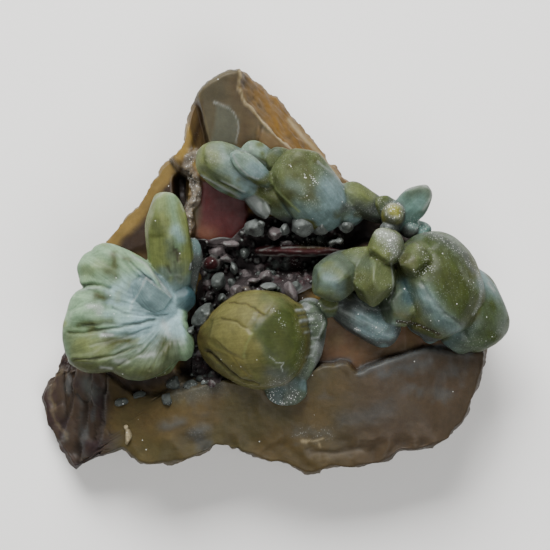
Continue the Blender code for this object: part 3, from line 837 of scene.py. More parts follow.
@dataclass(frozen=True)
class Crystal:
    """One blunt crystal: a round body drawn out from its base to its tip.

    In its own frame, with a running from -1 at the base to 1 at the tip, its section's radius is
    (1 - |a|^n)^(1/n) * (1 + taper * a), a circle or a soft hexagon, times its half width and half thickness.
    """

    base: Point
    tip: Point
    half_width: float
    half_thick: float
    taper: float
    bluntness: float
    hexness: float
    look: Look

    def axes(self) -> tuple[np.ndarray, np.ndarray, np.ndarray]:
        """The crystal's own frame.

        Returns:
            Unit vectors along the crystal, to its side, and up out of it.
        """
        axis = np.subtract(self.tip, self.base)
        axis = axis / np.linalg.norm(axis)
        side = np.cross(axis, (0.0, 0.0, 1.0))
        length = np.linalg.norm(side)
        side = side / length if length > 0.2 else np.array([1.0, 0.0, 0.0])
        up = np.cross(side, axis)
        return axis, side, up / np.linalg.norm(up)

    def middle(self) -> np.ndarray:
        """The point half way from base to tip."""
        return (np.array(self.base) + np.array(self.tip)) / 2

    @property
    def half_length(self) -> float:
        """Half the distance from base to tip, in mm."""
        return float(np.linalg.norm(np.subtract(self.tip, self.base))) / 2

    def seed(self) -> int:
        """A number of its own, from its tip's place."""
        return int(abs(self.tip[0] * 31 + self.tip[1] * 57 + self.tip[2] * 11))

    def section(self, turn: np.ndarray) -> np.ndarray:
        """The section's reach.

        Args:
            turn: angles round the crystal, in radians.

        Returns:
            1 for a circle, and less on a hexagon's flats.
        """
        step = math.pi / 3
        hexagon = math.cos(step / 2) / np.cos(turn % step - step / 2)
        return 1.0 - self.hexness + self.hexness * (hexagon**0.8)

    def flattened(self, body: np.ndarray) -> np.ndarray:
        """Cuts worn flats on the crystal: six round its sides, one on its cap and four between them.

        Args:
            body: points on the crystal as shares of its half sizes: across, above and along.

        Returns:
            The points, planed to the flats.
        """
        chance = np.random.default_rng(self.seed())
        turns = chance.uniform(0.0, 1.0) + np.arange(6) * math.pi / 3 + chance.uniform(-0.22, 0.22, 6)
        normals = [(math.cos(t), math.sin(t), lean) for t, lean in zip(turns, chance.uniform(-0.25, 0.25, 6))]
        normals.append((*chance.uniform(-0.22, 0.22, 2), 1.0))
        turns = chance.uniform(0.0, math.tau) + np.arange(4) * math.pi / 2 + chance.uniform(-0.3, 0.3, 4)
        normals += [(math.cos(t) * 0.75, math.sin(t) * 0.75, 0.75) for t in turns]
        return planed(body, normals, self.look.flats + chance.uniform(-0.04, 0.05, len(normals)), 0.06)

    def ribs(self, turn: np.ndarray, along: np.ndarray) -> np.ndarray:
        """Long ribs round the crystal.

        Args:
            turn: angles round the crystal, in radians.
            along: places from -1 at the base to 1 at the tip.

        Returns:
            Their height in mm: |sin(n turn / 2 + wander)|, whose creases fade at both ends.
        """
        ring = np.stack([np.cos(turn) * 2.0, np.sin(turn) * 2.0, along * 1.2], axis=-1)
        wander = rough(ring, 1.0, 2, self.seed()) * 1.6
        folds = np.abs(np.sin(turn * self.look.ribs / 2 + wander)) - 0.6
        fade = smoothstep(-1.0, -0.5, along) * (1.0 - 0.75 * smoothstep(0.3, 1.0, along))
        return self.look.rib_depth * folds * fade

    def skin(self, spacing: float = 0.22) -> Skin:
        """The crystal's closed surface on a grid of turn and along, with its ribs and lumps.

        Args:
            spacing: the grid's size, in mm.

        Returns:
            The skin. Rows run from base to tip and columns round the axis.
        """
        rows = int(np.clip(2.4 * self.half_length / spacing, 16, 130))
        columns = int(np.clip(math.tau * self.half_width / spacing, 18, 150))
        lean = (np.arange(rows) + 1) / (rows + 1) * math.pi
        power = 2.0 / self.bluntness
        along = -np.sign(np.cos(lean)) * np.abs(np.cos(lean)) ** power
        spread = np.sin(lean) ** power * (1.0 + self.taper * along)
        turn = np.arange(columns) * math.tau / columns
        grid_turn, grid_along = np.meshgrid(turn, along)
        reach = spread[:, None] * self.section(grid_turn)
        ribs = self.ribs(grid_turn, grid_along) / self.half_width
        reach = reach + ribs * np.sqrt(np.maximum(spread, 0))[:, None]
        body = np.stack([np.cos(grid_turn) * reach, np.sin(grid_turn) * reach, grid_along], axis=-1)
        body = self.flattened(body * FLAT_ROOM)
        axis, side, up = self.axes()
        rings = (
            self.middle()
            + axis * (body[..., 2] * self.half_length)[..., None]
            + side * (body[..., 0] * self.half_width)[..., None]
            + up * (body[..., 1] * self.half_thick)[..., None]
        )
        swell = rough(rings, 2.4, 2, self.seed()) * self.look.lumps
        out = rings - self.middle() - axis * (grid_along * self.half_length * 0.6)[..., None]
        out = out / np.maximum(np.linalg.norm(out, axis=-1, keepdims=True), 1e-9)
        rings = rings + out * swell[..., None]
        return Skin.of_rings(rings, tuple(rings[0].mean(axis=0)), tuple(rings[-1].mean(axis=0)))

    def measure(self, points: np.ndarray) -> tuple[np.ndarray, np.ndarray, np.ndarray, np.ndarray]:
        """Where points lie on the crystal.

        Args:
            points: the points, in mm.

        Returns:
            The rough distance outside the crystal, then along from -1 to 1, across and up, each as a share
            of the crystal's own half size.
        """
        axis, side, up = self.axes()
        offset = points - self.middle()
        along = offset @ axis / self.half_length
        across = offset @ side / self.half_width
        above = offset @ up / self.half_thick
        radius = np.hypot(across, above) / np.maximum(1.0 + self.taper * np.clip(along, -1, 1), 0.2)
        power = self.bluntness
        level = (np.abs(along) ** power + radius**power) ** (1.0 / power)
        return (level - 1.0) * self.half_thick, along, across, above


@dataclass(frozen=True)
class Shell:
    """A clam-like body of many thin crystals that spread from one root.

    At an angle about the root its section runs from the root to the outline's radius R: a place on it lies at
    R s and at z = m(s) + t(s) h, where s^p + |h|^p = 1, and m and t rise by an S from the root to the rim.
    """

    root: Point
    outline: Path
    rise: float
    thick: tuple[float, float]
    look: Look
    power: float = 2.5
    half_width: float = 9.0
    half_length: float = 8.0
    pleats: tuple[float, float] = (27.0, 0.17)  # waves to a radian, and their depth in mm
    scallops: tuple[float, float] = (9.0, 0.22)
    swell: float = 0.30

    def seed(self) -> int:
        """A fixed number, as there is one shell."""
        return 5

    def middle_line(self, share: np.ndarray, radius: np.ndarray) -> tuple[np.ndarray, np.ndarray]:
        """The middle's height m and the half thickness t at shares of the way out to the rim."""
        out = smoothstep(-0.1, 0.85, share) * smoothstep(0.0, 9.0, radius)
        return self.root[2] + self.rise * out, self.thick[0] + (self.thick[1] - self.thick[0]) * out

    def skin(self, rows: int = 110, columns: int = 300) -> Skin:
        """The shell's closed surface, from the top of its root round the rim to its underside.

        Args:
            rows: rings from pole to pole.
            columns: points round each ring.

        Returns:
            The skin, with fine pleats that run out from the root and fade at the rim, and scallops at it.
        """
        turn = np.arange(columns) * math.tau / columns
        radius = outline_radius(turn, self.outline, self.root[:2])
        lean = (np.arange(rows) + 1) / (rows + 1) * math.pi
        share = np.sin(lean) ** (2.0 / self.power)
        tall = np.sign(np.cos(lean)) * np.abs(np.cos(lean)) ** (2.0 / self.power)
        grid_turn, grid_share = np.meshgrid(turn, share)
        middle, thick = self.middle_line(grid_share, radius)
        place = np.stack([np.cos(grid_turn) * 3.0, np.sin(grid_turn) * 3.0, grid_share * 2.0], axis=-1)
        wander = rough(place, 1.0, 2, 15)
        fade = smoothstep(0.05, 0.3, grid_share) * (1.0 - 0.85 * smoothstep(0.5, 0.9, grid_share))
        pleats = self.pleats[1] * (np.abs(np.sin(grid_turn * self.pleats[0] + 2.0 * wander)) - 0.6) * fade
        scallops = self.scallops[1] * np.sin(grid_turn * self.scallops[0] + 2.4 * wander)
        scallops = scallops * smoothstep(0.45, 0.9, grid_share)
        swell = self.swell * rough(place * 1.3, 1.0, 2, 16) * smoothstep(0.3, 0.8, grid_share)
        height = middle + thick * tall[:, None]
        height = height + (pleats + scallops + swell) * (0.35 + 0.65 * np.maximum(tall, 0.0))[:, None]
        reach = radius * share[:, None]
        x = self.root[0] + np.cos(turn) * reach
        y = self.root[1] + np.sin(turn) * reach
        rings = np.stack([x, y, height], axis=-1)
        start = (*self.root[:2], float(height[0].mean()))
        return Skin.of_rings(rings[:, ::-1], start, (*self.root[:2], float(height[-1].mean())))

    def measure(self, points: np.ndarray) -> tuple[np.ndarray, np.ndarray, np.ndarray, np.ndarray]:
        """Where points lie on the shell, in the numbers that a crystal's measure gives.

        Args:
            points: the points, in mm.

        Returns:
            The rough distance outside the shell, then along from -1 at the root to 1 at the rim, and the
            cosine and sine of the angle about the root.
        """
        x, y = points[:, 0] - self.root[0], points[:, 1] - self.root[1]
        turn = np.arctan2(y, x)
        radius = outline_radius(turn, self.outline, self.root[:2])
        share = np.hypot(x, y) / radius
        middle, thick = self.middle_line(np.minimum(share, 1.0), radius)
        tall = np.abs(points[:, 2] - middle) / thick
        level = (share**self.power + tall**self.power) ** (1.0 / self.power)
        return (level - 1.0) * 3.0, 2.0 * share - 1.0, np.cos(turn), np.sin(turn)


@dataclass
class CrystalGroup:
    """Crystals that have grown together into one piece."""

    name: str
    node: str
    slot: str
    finish: Finish
    crystals: tuple[Crystal | Shell, ...]
    details: tuple[Detail, ...] = ()
    voxel: float = 0.16
    relief: float = 0.035

    def tint(self, crystal: Crystal, points: np.ndarray, measured: tuple) -> np.ndarray:
        """The colour of points on one crystal.

        Args:
            crystal: the crystal they lie on.
            points: the points, in mm.
            measured: what the crystal's measure gave for them.

        Returns:
            The root's colour turning to the cap's along the crystal, then the patches' where noise is high.
        """
        look = crystal.look
        share = (measured[1] + 1.0) / 2.0 + 0.22 * rough(points, 2.6, 3, crystal.seed() + 3)
        colour = blend(look.root, look.cap, smoothstep(*look.turnover, share))
        cloud = rough(points * (1.0, 1.0, 0.8), 2.2, 3, crystal.seed() + 9)
        limit = 0.55 - 0.9 * look.patches
        return blend(colour, look.patch, smoothstep(limit - 0.12, limit + 0.2, cloud))

    def marks(self, skin: Skin) -> Marks:
        """What the finish reads at each point.

        Args:
            skin: the fused surface.

        Returns:
            The marks: tint, with painted shade in the cracks, lie, frost, and the painted highlight where
                edges stand out.
        """
        nearest = np.full(len(skin.points), 1e9)
        tint = np.ones((len(skin.points), 4))
        lie = np.zeros((len(skin.points), 3))
        frost = np.zeros(len(skin.points))
        for number, crystal in enumerate(self.crystals):
            measured = crystal.measure(skin.points)
            mine = measured[0] < nearest
            nearest[mine] = measured[0][mine]
            own = tuple(part[mine] for part in measured)
            tint[mine, :3] = self.tint(crystal, skin.points[mine], own)
            turn = np.arctan2(own[3], own[2])
            layer = np.full(len(turn), number * 7.0)
            lie[mine] = np.stack([turn * crystal.half_width, own[1] * crystal.half_length, layer], axis=1)
            frost[mine] = crystal.look.frost
        for _ in range(2):
            tint = skin.spread_of(tint)
            frost = skin.spread_of(frost)
        crest = skin.crests(4)
        patchy = smoothstep(0.0, 0.5, rough(skin.points, 2.0, 3, 77))
        frost = np.clip(frost * (0.35 + 1.1 * patchy), 0.0, 1.0)
        rim_highlight = smoothstep(0.02, 0.10, crest) * (0.4 + 0.6 * patchy)
        return {"tint": shaded(tint, crest, 0.10, 0.35), "lie": lie, "frost": frost, "rim_highlight": rim_highlight}

    def build(self) -> Object:
        """Makes the piece.

        Returns:
            The finished object, riding on the specimen in its node's place.
        """
        skin = fuse([crystal.skin() for crystal in self.crystals], self.voxel)
        skin.relax(1, 0.5)
        marks = self.marks(skin)
        lift = lay(skin, self.details, marks)
        sugar = 0.5 - pebbles(skin.points, 0.55, 3)[0]
        skin.push(lift + self.relief * rough(skin.points, 0.9, 2, 5) + 0.14 * marks["frost"] * sugar)
        piece = skin.build(self.name, marks, self.finish.material())
        return settle(piece, self.node)


FAN_OUTLINE = (
    (-14.2, -3.2), (-16.2, -1.0), (-17.0, 0.4), (-18.0, 1.9), (-19.4, 2.8), (-21.2, 3.7), (-23.0, 4.4),
    (-24.4, 4.6), (-25.6, 4.1), (-26.4, 2.8), (-27.3, 1.0), (-27.8, -0.8), (-27.5, -1.6), (-27.2, -1.8),
    (-28.2, -2.3), (-29.0, -3.3), (-29.5, -5.0), (-30.1, -7.0), (-30.2, -9.0), (-29.8, -11.0),
    (-29.2, -12.2), (-28.2, -13.2), (-26.6, -13.9), (-25.0, -13.9), (-23.2, -13.7), (-22.3, -14.2),
    (-21.0, -14.8), (-19.4, -15.0), (-17.6, -14.7), (-16.0, -13.9), (-14.8, -13.0), (-13.6, -12.1),
    (-12.6, -12.2), (-11.8, -11.6), (-11.5, -10.4), (-11.6, -9.0), (-12.2, -8.0), (-12.6, -6.6),
    (-12.5, -5.4), (-12.8, -4.2),
)
FAN_PLATE = (
    (-18.2, -0.4), (-16.2, -1.9), (-14.7, -3.3), (-15.7, -4.8), (-17.6, -5.5), (-20.4, -5.0), (-20.3, -3.9),
    (-19.4, -2.9),
)
FAN_DETAILS = (
    Detail(((-21.5, -3.0), (-17.0, -4.5), (-17.5, -8.0)), 2.6, Hue.ICE, 0.5),
    Detail(
        ((-27.0, -9.0), (-24.0, -11.6), (-19.0, -12.8), (-15.4, -11.6)), 1.5, Hue.YELLOW_GREEN, 0.6, shake=0.6
    ),
    Detail(((-26.6, 0.4), (-24.4, 1.6)), 1.2, Hue.PALE_GREEN, 0.6, shake=0.6),
    Detail(((-28.4, -3.4), (-27.2, -6.0)), 1.4, Hue.PALE_MINT, 0.6),
    Detail(((-25.0, 3.6), (-22.8, 3.4)), 1.2, Hue.PALE_MINT, 0.7),
    Detail(((-29.2, -9.0), (-28.6, -11.6)), 1.3, Hue.GREY_GREEN, 0.7),
    # greener and darker olive along the fan's lower side: partly its own colour, partly painted shade on the
    # side turned from the light
    Detail(((-25.4, -12.8), (-21.0, -13.4), (-17.0, -13.6), (-14.4, -12.0)), 1.7, Hue.LEAF, 0.75, shake=0.8),
    Detail(((-21.6, -11.0), (-17.0, -10.6), (-13.6, -9.6)), 1.8, Hue.GREY_GREEN, 0.8, shake=0.8),
    Detail(((-29.0, -8.5), (-27.6, -12.0), (-24.6, -13.4)), 1.7, Hue.LEAF, 0.55, shake=0.6),
    Detail(((-25.4, -12.0), (-20.0, -12.6), (-16.0, -11.4)), 2.2, Hue.GREY_GREEN, 0.4, shake=0.6),
    Detail(((-16.6, -8.8), (-15.0, -10.6)), 1.2, Hue.GREY_GREEN, 0.6, shake=0.6),
    Detail(
        ((-28.0, -12.8), (-24.0, -13.8), (-20.0, -14.8), (-16.0, -13.8)), 1.12, Hue.OLIVE, 0.78, shake=0.5
    ),
    Detail(((-25.2, -3.0), (-24.0, -3.1)), 0.81, Hue.DARK_OLIVE, 0.98, shake=0.5),
    Detail(((-22.7, 3.0), (-22.8, 1.4)), 0.62, Hue.OLIVE, 0.91, shake=0.5),
    Detail(((-23.6, 0.7), (-22.8, 0.2)), 0.88, Hue.OLIVE, 0.78, shake=0.5),
    Detail(((-21.2, 2.3), (-20.7, 2.2)), 0.50, Hue.OLIVE, 0.78, shake=0.4),
    Detail(((-27.6, -6.9), (-23.0, -6.5)), 0.62, Hue.DARK_OLIVE, 0.78, shake=0.4),
    Detail(((-23.6, -9.5), (-20.6, -9.2)), 0.94, Hue.DARK_OLIVE, 1.00, shake=0.5),
    Detail(((-15.2, -9.6), (-15.4, -10.9)), 1.19, Hue.DARK_OLIVE, 0.91, shake=0.6),
    Detail(((-27.0, -9.6), (-24.6, -10.6)), 1.3, Hue.YELLOW_GREEN, 0.5, shake=0.5),
    # pale frosted spots: tiny white crystals, partly laid as painted white glints
    Detail(((-26.2, -4.3), (-24.6, -4.6), (-24.8, -5.3)), 0.45, Hue.FROST, 0.6, frost=0.3, shake=0.4),
    Detail(((-24.4, -8.5), (-23.0, -8.4)), 0.28, Hue.FROST, 0.8, frost=0.4, shake=0.3),
    Detail(((-22.4, -12.0), (-21.0, -12.3)), 0.4, Hue.FROST, 0.45, shake=0.4),
    Detail(((-19.0, -11.5), (-17.2, -11.2)), 0.3, Hue.FROST, 0.4, shake=0.4),
    Detail(((-16.0, -6.6), (-15.2, -8.2)), 0.5, Hue.FROST, 0.5, shake=0.5),
    Detail(((-24.6, -13.0), (-23.2, -13.2)), 0.2, Hue.FROST, 0.6),
    # grooves between the lobes, sunk and laid darker as painted shade in the creases
    Detail(((-28.2, -1.8), (-26.4, -1.4), (-24.6, -1.3), (-23.2, -1.9)), 0.30, Hue.OLIVE, 0.5, -0.60),
    Detail(((-27.6, -2.2), (-26.2, -1.9), (-24.8, -1.8)), 0.22, Hue.FROST, 0.4, 0.12),
    Detail(
        ((-29.2, -8.2), (-26.4, -8.1), (-23.8, -7.7), (-20.5, -7.1), (-17.0, -6.3)),
        0.22, Hue.OLIVE, 0.5, -0.35
    ),
    Detail(((-28.4, -12.1), (-25.6, -11.9), (-22.6, -11.3), (-19.0, -9.9)), 0.22, Hue.OLIVE, 0.45, -0.32),
    Detail(((-27.0, -7.2), (-24.0, -6.9), (-19.0, -6.9)), 0.16, Hue.SMOKE, 0.3, -0.12),
    Detail(((-22.8, -4.6), (-21.4, -5.4), (-18.6, -5.7), (-15.2, -5.7)), 0.16, Hue.SMOKE, 0.4, -0.22),
    Detail(((-26.0, -9.9), (-21.6, -8.9), (-17.4, -7.4)), 0.18, Hue.SMOKE, 0.3, -0.15),
    Detail(((-22.2, -12.9), (-18.6, -10.9), (-16.6, -8.6)), 0.18, Hue.OLIVE, 0.3, -0.18),
    Detail(((-17.6, -13.4), (-16.6, -11.0), (-15.6, -8.8)), 0.18, Hue.OLIVE, 0.3, -0.18),
    Detail(((-20.4, 1.8), (-18.8, 0.2), (-17.6, -0.8)), 0.18, Hue.SMOKE, 0.45, -0.22),
    Detail(
        ((-20.2, 2.7), (-18.2, 1.5), (-16.6, -0.6), (-14.8, -3.0)), 0.20, Hue.FROST, 0.55, 0.10, shake=0.05
    ),
    Detail(FAN_PLATE, 0.16, Hue.SKY_GREY, 0.55, 0.30, filled=True, shake=0.04),
    Detail((*FAN_PLATE[:2], (-15.0, -3.0)), 0.1, Hue.FROST, 0.4, shake=0.04),
    Detail((FAN_PLATE[0], FAN_PLATE[7], FAN_PLATE[6], FAN_PLATE[5]), 0.1, Hue.FROST, 0.35, shake=0.04),
    Detail(((-16.8, 7.0), (-16.2, 6.4)), 0.9, Hue.LEAF, 0.7, shake=0.5),
    Detail(((-17.4, 5.5), (-16.0, 5.5)), 0.44, Hue.DARK_OLIVE, 0.65, shake=0.2),
    Detail(((-14.4, 11.0), (-14.0, 7.0), (-13.6, 4.0)), 0.7, Hue.PALE_MINT, 0.75, shake=0.3),
    Detail(((-14.0, 6.6), (-13.4, 5.2)), 0.7, Hue.ICE, 0.6, shake=0.4),
    Detail(((-14.8, 4.4), (-14.2, 1.0), (-13.4, -0.8)), 0.9, Hue.GREY_GREEN, 0.7, shake=0.7),
    # small pits, sunk and laid dark as painted shade
    Detail(((-14.0, 3.4), (-13.8, 2.0)), 0.35, Hue.PLUM, 0.6, -0.15, shake=0.6),
    Detail(((-15.2, 1.0), (-14.8, 0.2)), 0.25, Hue.UMBER, 0.5, -0.15, shake=0.4),
    Detail(ring((-13.5, -0.7), 0.55), 0.2, Hue.FROST, 0.15, 0.04, shake=0.3),
    Detail(
        ((-18.2, 8.6), (-17.0, 10.6), (-15.4, 11.8), (-13.6, 11.2), (-12.8, 9.0)),
        0.16, Hue.FROST, 0.35, shake=0.05
    ),
)


@dataclass
class LeftFan(CrystalGroup):
    """The pale fan at the left, with its upright tongue, all from one root."""

    name: str = "fan_crystals"
    node: str = "left_fan"
    slot: str = "pale_crystal"
    finish: Finish = FAN_FINISH
    crystals: tuple[Crystal | Shell, ...] = (
        Shell((-14.6, -5.6, 13.4), FAN_OUTLINE, 3.3, (2.2, 3.5), FAN_SHELL),
        Crystal((-13.6, -6.6, 13.0), (-27.2, 2.4, 17.4), 3.9, 2.9, 0.42, 2.4, 0.15, FAN_RIM),
        Crystal((-13.0, -6.8, 13.2), (-29.4, -6.4, 17.2), 4.0, 3.4, 0.45, 2.4, 0.15, FAN_RIM),
        Crystal((-12.8, -7.2, 13.2), (-29.4, -11.2, 16.8), 3.6, 3.4, 0.40, 2.4, 0.15, FAN_LOBE),
        Crystal((-13.6, -6.6, 12.8), (-19.4, -13.6, 15.2), 3.2, 2.6, 0.20, 2.6, 0.15, FAN_LOBE),
        Crystal((-14.0, -6.0, 14.6), (-19.6, -0.6, 18.6), 2.4, 1.4, 0.35, 3.2, 0.35, FAN_SHEET),
        Crystal((-14.4, -5.2, 13.0), (-15.5, 11.8, 20.4), 3.15, 2.3, 0.30, 2.3, 0.20, FAN_TONGUE),
        Crystal((-12.9, -3.6, 12.2), (-11.6, 5.2, 15.8), 1.5, 1.6, 0.10, 2.4, 0.20, FAN_SIDE),
        Crystal((-15.6, -5.4, 13.2), (-11.8, -2.2, 15.6), 1.8, 1.8, 0.10, 2.3, 0.10, FAN_BULGE),
    )
    details: tuple[Detail, ...] = FAN_DETAILS


DOME_DARK = (
    (-3.0, -6.2), (-1.2, -5.6), (0.0, -4.6), (0.8, -3.6), (2.6, -4.4), (3.6, -7.4), (4.6, -9.0), (4.2, -12.2),
    (2.8, -14.0), (0.6, -14.6), (-1.6, -12.6), (-2.4, -9.6), (-3.2, -7.8),
)
DOME_PETALS = (
    ((-8.0, -4.9), (-5.6, -2.6), (-2.0, -2.0), (0.2, -3.4), (-1.2, -5.5), (-2.6, -5.1), (-4.0, -4.1)),
    ((-8.8, -6.2), (-7.4, -4.4), (-4.0, -4.2), (-2.6, -5.2), (-3.0, -6.2), (-4.0, -7.5), (-5.4, -6.5)),
    (
        (-9.2, -8.6), (-8.6, -6.4), (-5.2, -6.7), (-3.9, -7.7), (-3.2, -8.4), (-4.2, -9.6),
        (-4.4, -11.6), (-6.4, -10.8),
    ),
    ((-9.6, -9.6), (-6.4, -11.0), (-4.4, -11.8), (-3.0, -14.0), (-4.8, -14.6), (-7.6, -12.2)),
)
DOME_DETAILS = (
    Detail(((-7.0, -8.0), (-4.5, -10.0)), 2.4, Hue.STRAW, 0.5, shake=0.6),
    Detail(DOME_DARK, 1.2, Hue.MOSS, 0.95, filled=True, shake=0.9),
    Detail(((0.6, -8.0), (1.4, -10.8)), 2.2, Hue.DARK_OLIVE, 0.7, shake=0.5),
    Detail(((-1.6, -3.2), (1.0, -3.6)), 0.9, Hue.LEAF, 0.7, shake=0.4),
    Detail(((-7.8, -11.0), (-5.8, -12.6)), 0.9, Hue.AMBER_GREEN, 0.8, shake=0.5),
    Detail(((-6.4, -10.4), (-5.0, -11.2)), 0.5, Hue.TAN, 0.6, shake=0.5),
    # umber and olive along the dome's left and lower side: partly its own colour, partly painted shade where
    # it meets the fan and the stone
    Detail(((-10.6, -8.6), (-8.8, -10.8)), 1.2, Hue.UMBER, 0.7, shake=0.5),
    Detail(((-8.4, -11.2), (-5.4, -13.2), (-2.2, -14.6)), 1.8, Hue.OLIVE, 0.75, shake=0.5),
    Detail(((-8.8, -7.6), (-6.8, -10.2)), 1.5, Hue.OLIVE, 0.6, shake=0.6),
    Detail(((-0.8, -13.7), (1.4, -13.9)), 0.9, Hue.SMOKE, 0.7, shake=0.4),
    Detail(DOME_PETALS[0], 0.3, lift=0.16, filled=True, shake=0.1),
    Detail(DOME_PETALS[1], 0.3, Hue.STRAW, 0.6, 0.22, filled=True, shake=0.1),
    Detail(DOME_PETALS[2], 0.3, Hue.STRAW, 0.7, 0.20, filled=True, shake=0.1),
    Detail(DOME_PETALS[3], 0.3, Hue.AMBER_GREEN, 0.35, 0.14, filled=True, shake=0.1),
    # painted shade: umber in the creases between the petals
    Detail(((-6.4, -3.9), (-4.0, -4.1), (-2.4, -5.1), (-1.6, -5.5)), 0.13, Hue.UMBER, 0.6, -0.12, shake=0.25),
    Detail(((-7.4, -6.2), (-5.8, -6.5), (-5.0, -6.7), (-4.0, -7.5)), 0.11, Hue.UMBER, 0.5, -0.10, shake=0.25),
    Detail(((-3.1, -8.2), (-4.0, -9.5), (-4.3, -11.4)), 0.16, Hue.YELLOW_GREEN, 0.5, 0.05, shake=0.2),
    # painted shade: umber in the sunk line along the dome's foot
    Detail(
        ((-9.6, -10.8), (-7.6, -12.4), (-6.2, -13.6), (-4.6, -14.8), (-2.4, -15.4)),
        0.22, Hue.UMBER, 0.7, -0.35
    ),
    Detail(((-8.6, -8.9), (-6.4, -10.9), (-4.8, -12.8), (-3.4, -14.4)), 0.16, Hue.AMBER_GREEN, 0.5, -0.08),
    Detail(((-6.6, -14.4), (-4.4, -15.1), (-1.6, -15.8)), 0.2, Hue.STRAW, 0.7, shake=0.1),
    Detail(
        ((2.9, -6.4), (3.9, -9.4), (3.6, -12.2), (2.4, -13.9)),
        0.4, Hue.YELLOW_GREEN, 0.15, frost=0.15, shake=0.6
    ),
    Detail(((-0.1, -4.8), (0.6, -6.0), (1.2, -6.9)), 0.3, frost=0.3, shake=0.5),
    Detail(
        ((-0.6, -11.3), (-0.2, -11.9), (1.0, -12.0), (0.9, -12.8), (1.0, -13.6)),
        0.07, Hue.FROST, 0.5, shake=0.6
    ),
    # painted glints: silver lines along the skirt's striations and its right edge, with darker grooves
    # between them as painted shade
    Detail(((3.0, -5.0), (4.6, -4.8)), 0.20, Hue.SILVER, 0.9, 0.1, shake=0.1),
    Detail(((3.6, -6.5), (5.4, -6.2)), 0.24, Hue.SILVER, 1.0, 0.12, shake=0.1),
    Detail(((4.2, -8.1), (5.2, -8.0)), 0.16, Hue.SILVER, 0.8, 0.08, shake=0.1),
    Detail(((3.4, -5.7), (5.6, -5.5)), 0.14, Hue.SMOKE, 0.6, -0.12, shake=0.1),
    Detail(((3.8, -7.3), (6.0, -7.1)), 0.14, Hue.SMOKE, 0.6, -0.12, shake=0.1),
    Detail(((5.2, -9.0), (6.2, -8.9)), 0.18, Hue.SILVER, 0.8, 0.08, shake=0.1),
    Detail(((4.9, -10.2), (5.8, -10.1)), 0.16, Hue.SILVER, 0.7, 0.08, shake=0.1),
    Detail(((4.4, -11.6), (5.4, -11.4)), 0.18, Hue.SILVER, 0.7, 0.08, shake=0.1),
    Detail(((7.0, -6.6), (6.2, -8.8), (5.4, -11.2)), 0.16, Hue.SILVER, 0.6, shake=0.05),
    Detail(((0.2, -15.4), (2.2, -15.4)), 1.0, Hue.ASH, 0.6, frost=0.3, shake=0.4),
    Detail(((-0.4, -17.2), (1.0, -17.8), (2.6, -17.2)), 0.9, Hue.ASH, 0.6, frost=1.0, shake=0.4),
)


@dataclass
class CentreDome(CrystalGroup):
    """The big green dome in the middle, with its striated skirt."""

    name: str = "dome_crystals"
    node: str = "centre_dome"
    slot: str = "olive_crystal"
    finish: Finish = CRYSTAL_FINISH
    crystals: tuple[Crystal | Shell, ...] = (
        Crystal((-10.5, -9.6, 14.2), (4.3, -8.7, 19.4), 6.6, 5.9, 0.33, 2.25, 0.10, DOME),
        Crystal((-9.8, -10.6, 13.2), (2.2, -15.6, 16.2), 2.3, 2.4, 0.30, 2.2, 0.10, DOME_SHADE),
        Crystal((0.4, -8.0, 12.8), (7.1, -5.8, 17.0), 2.9, 1.8, 0.25, 2.6, 0.20, SKIRT),
        Crystal((0.8, -10.0, 13.0), (1.9, -18.4, 16.8), 3.2, 2.4, 0.20, 2.6, 0.15, LOW_SKIRT),
        Crystal((5.3, -3.6, 13.4), (3.5, -15.2, 16.4), 2.4, 1.8, -0.10, 2.8, 0.15, SKIRT),
    )
    details: tuple[Detail, ...] = DOME_DETAILS


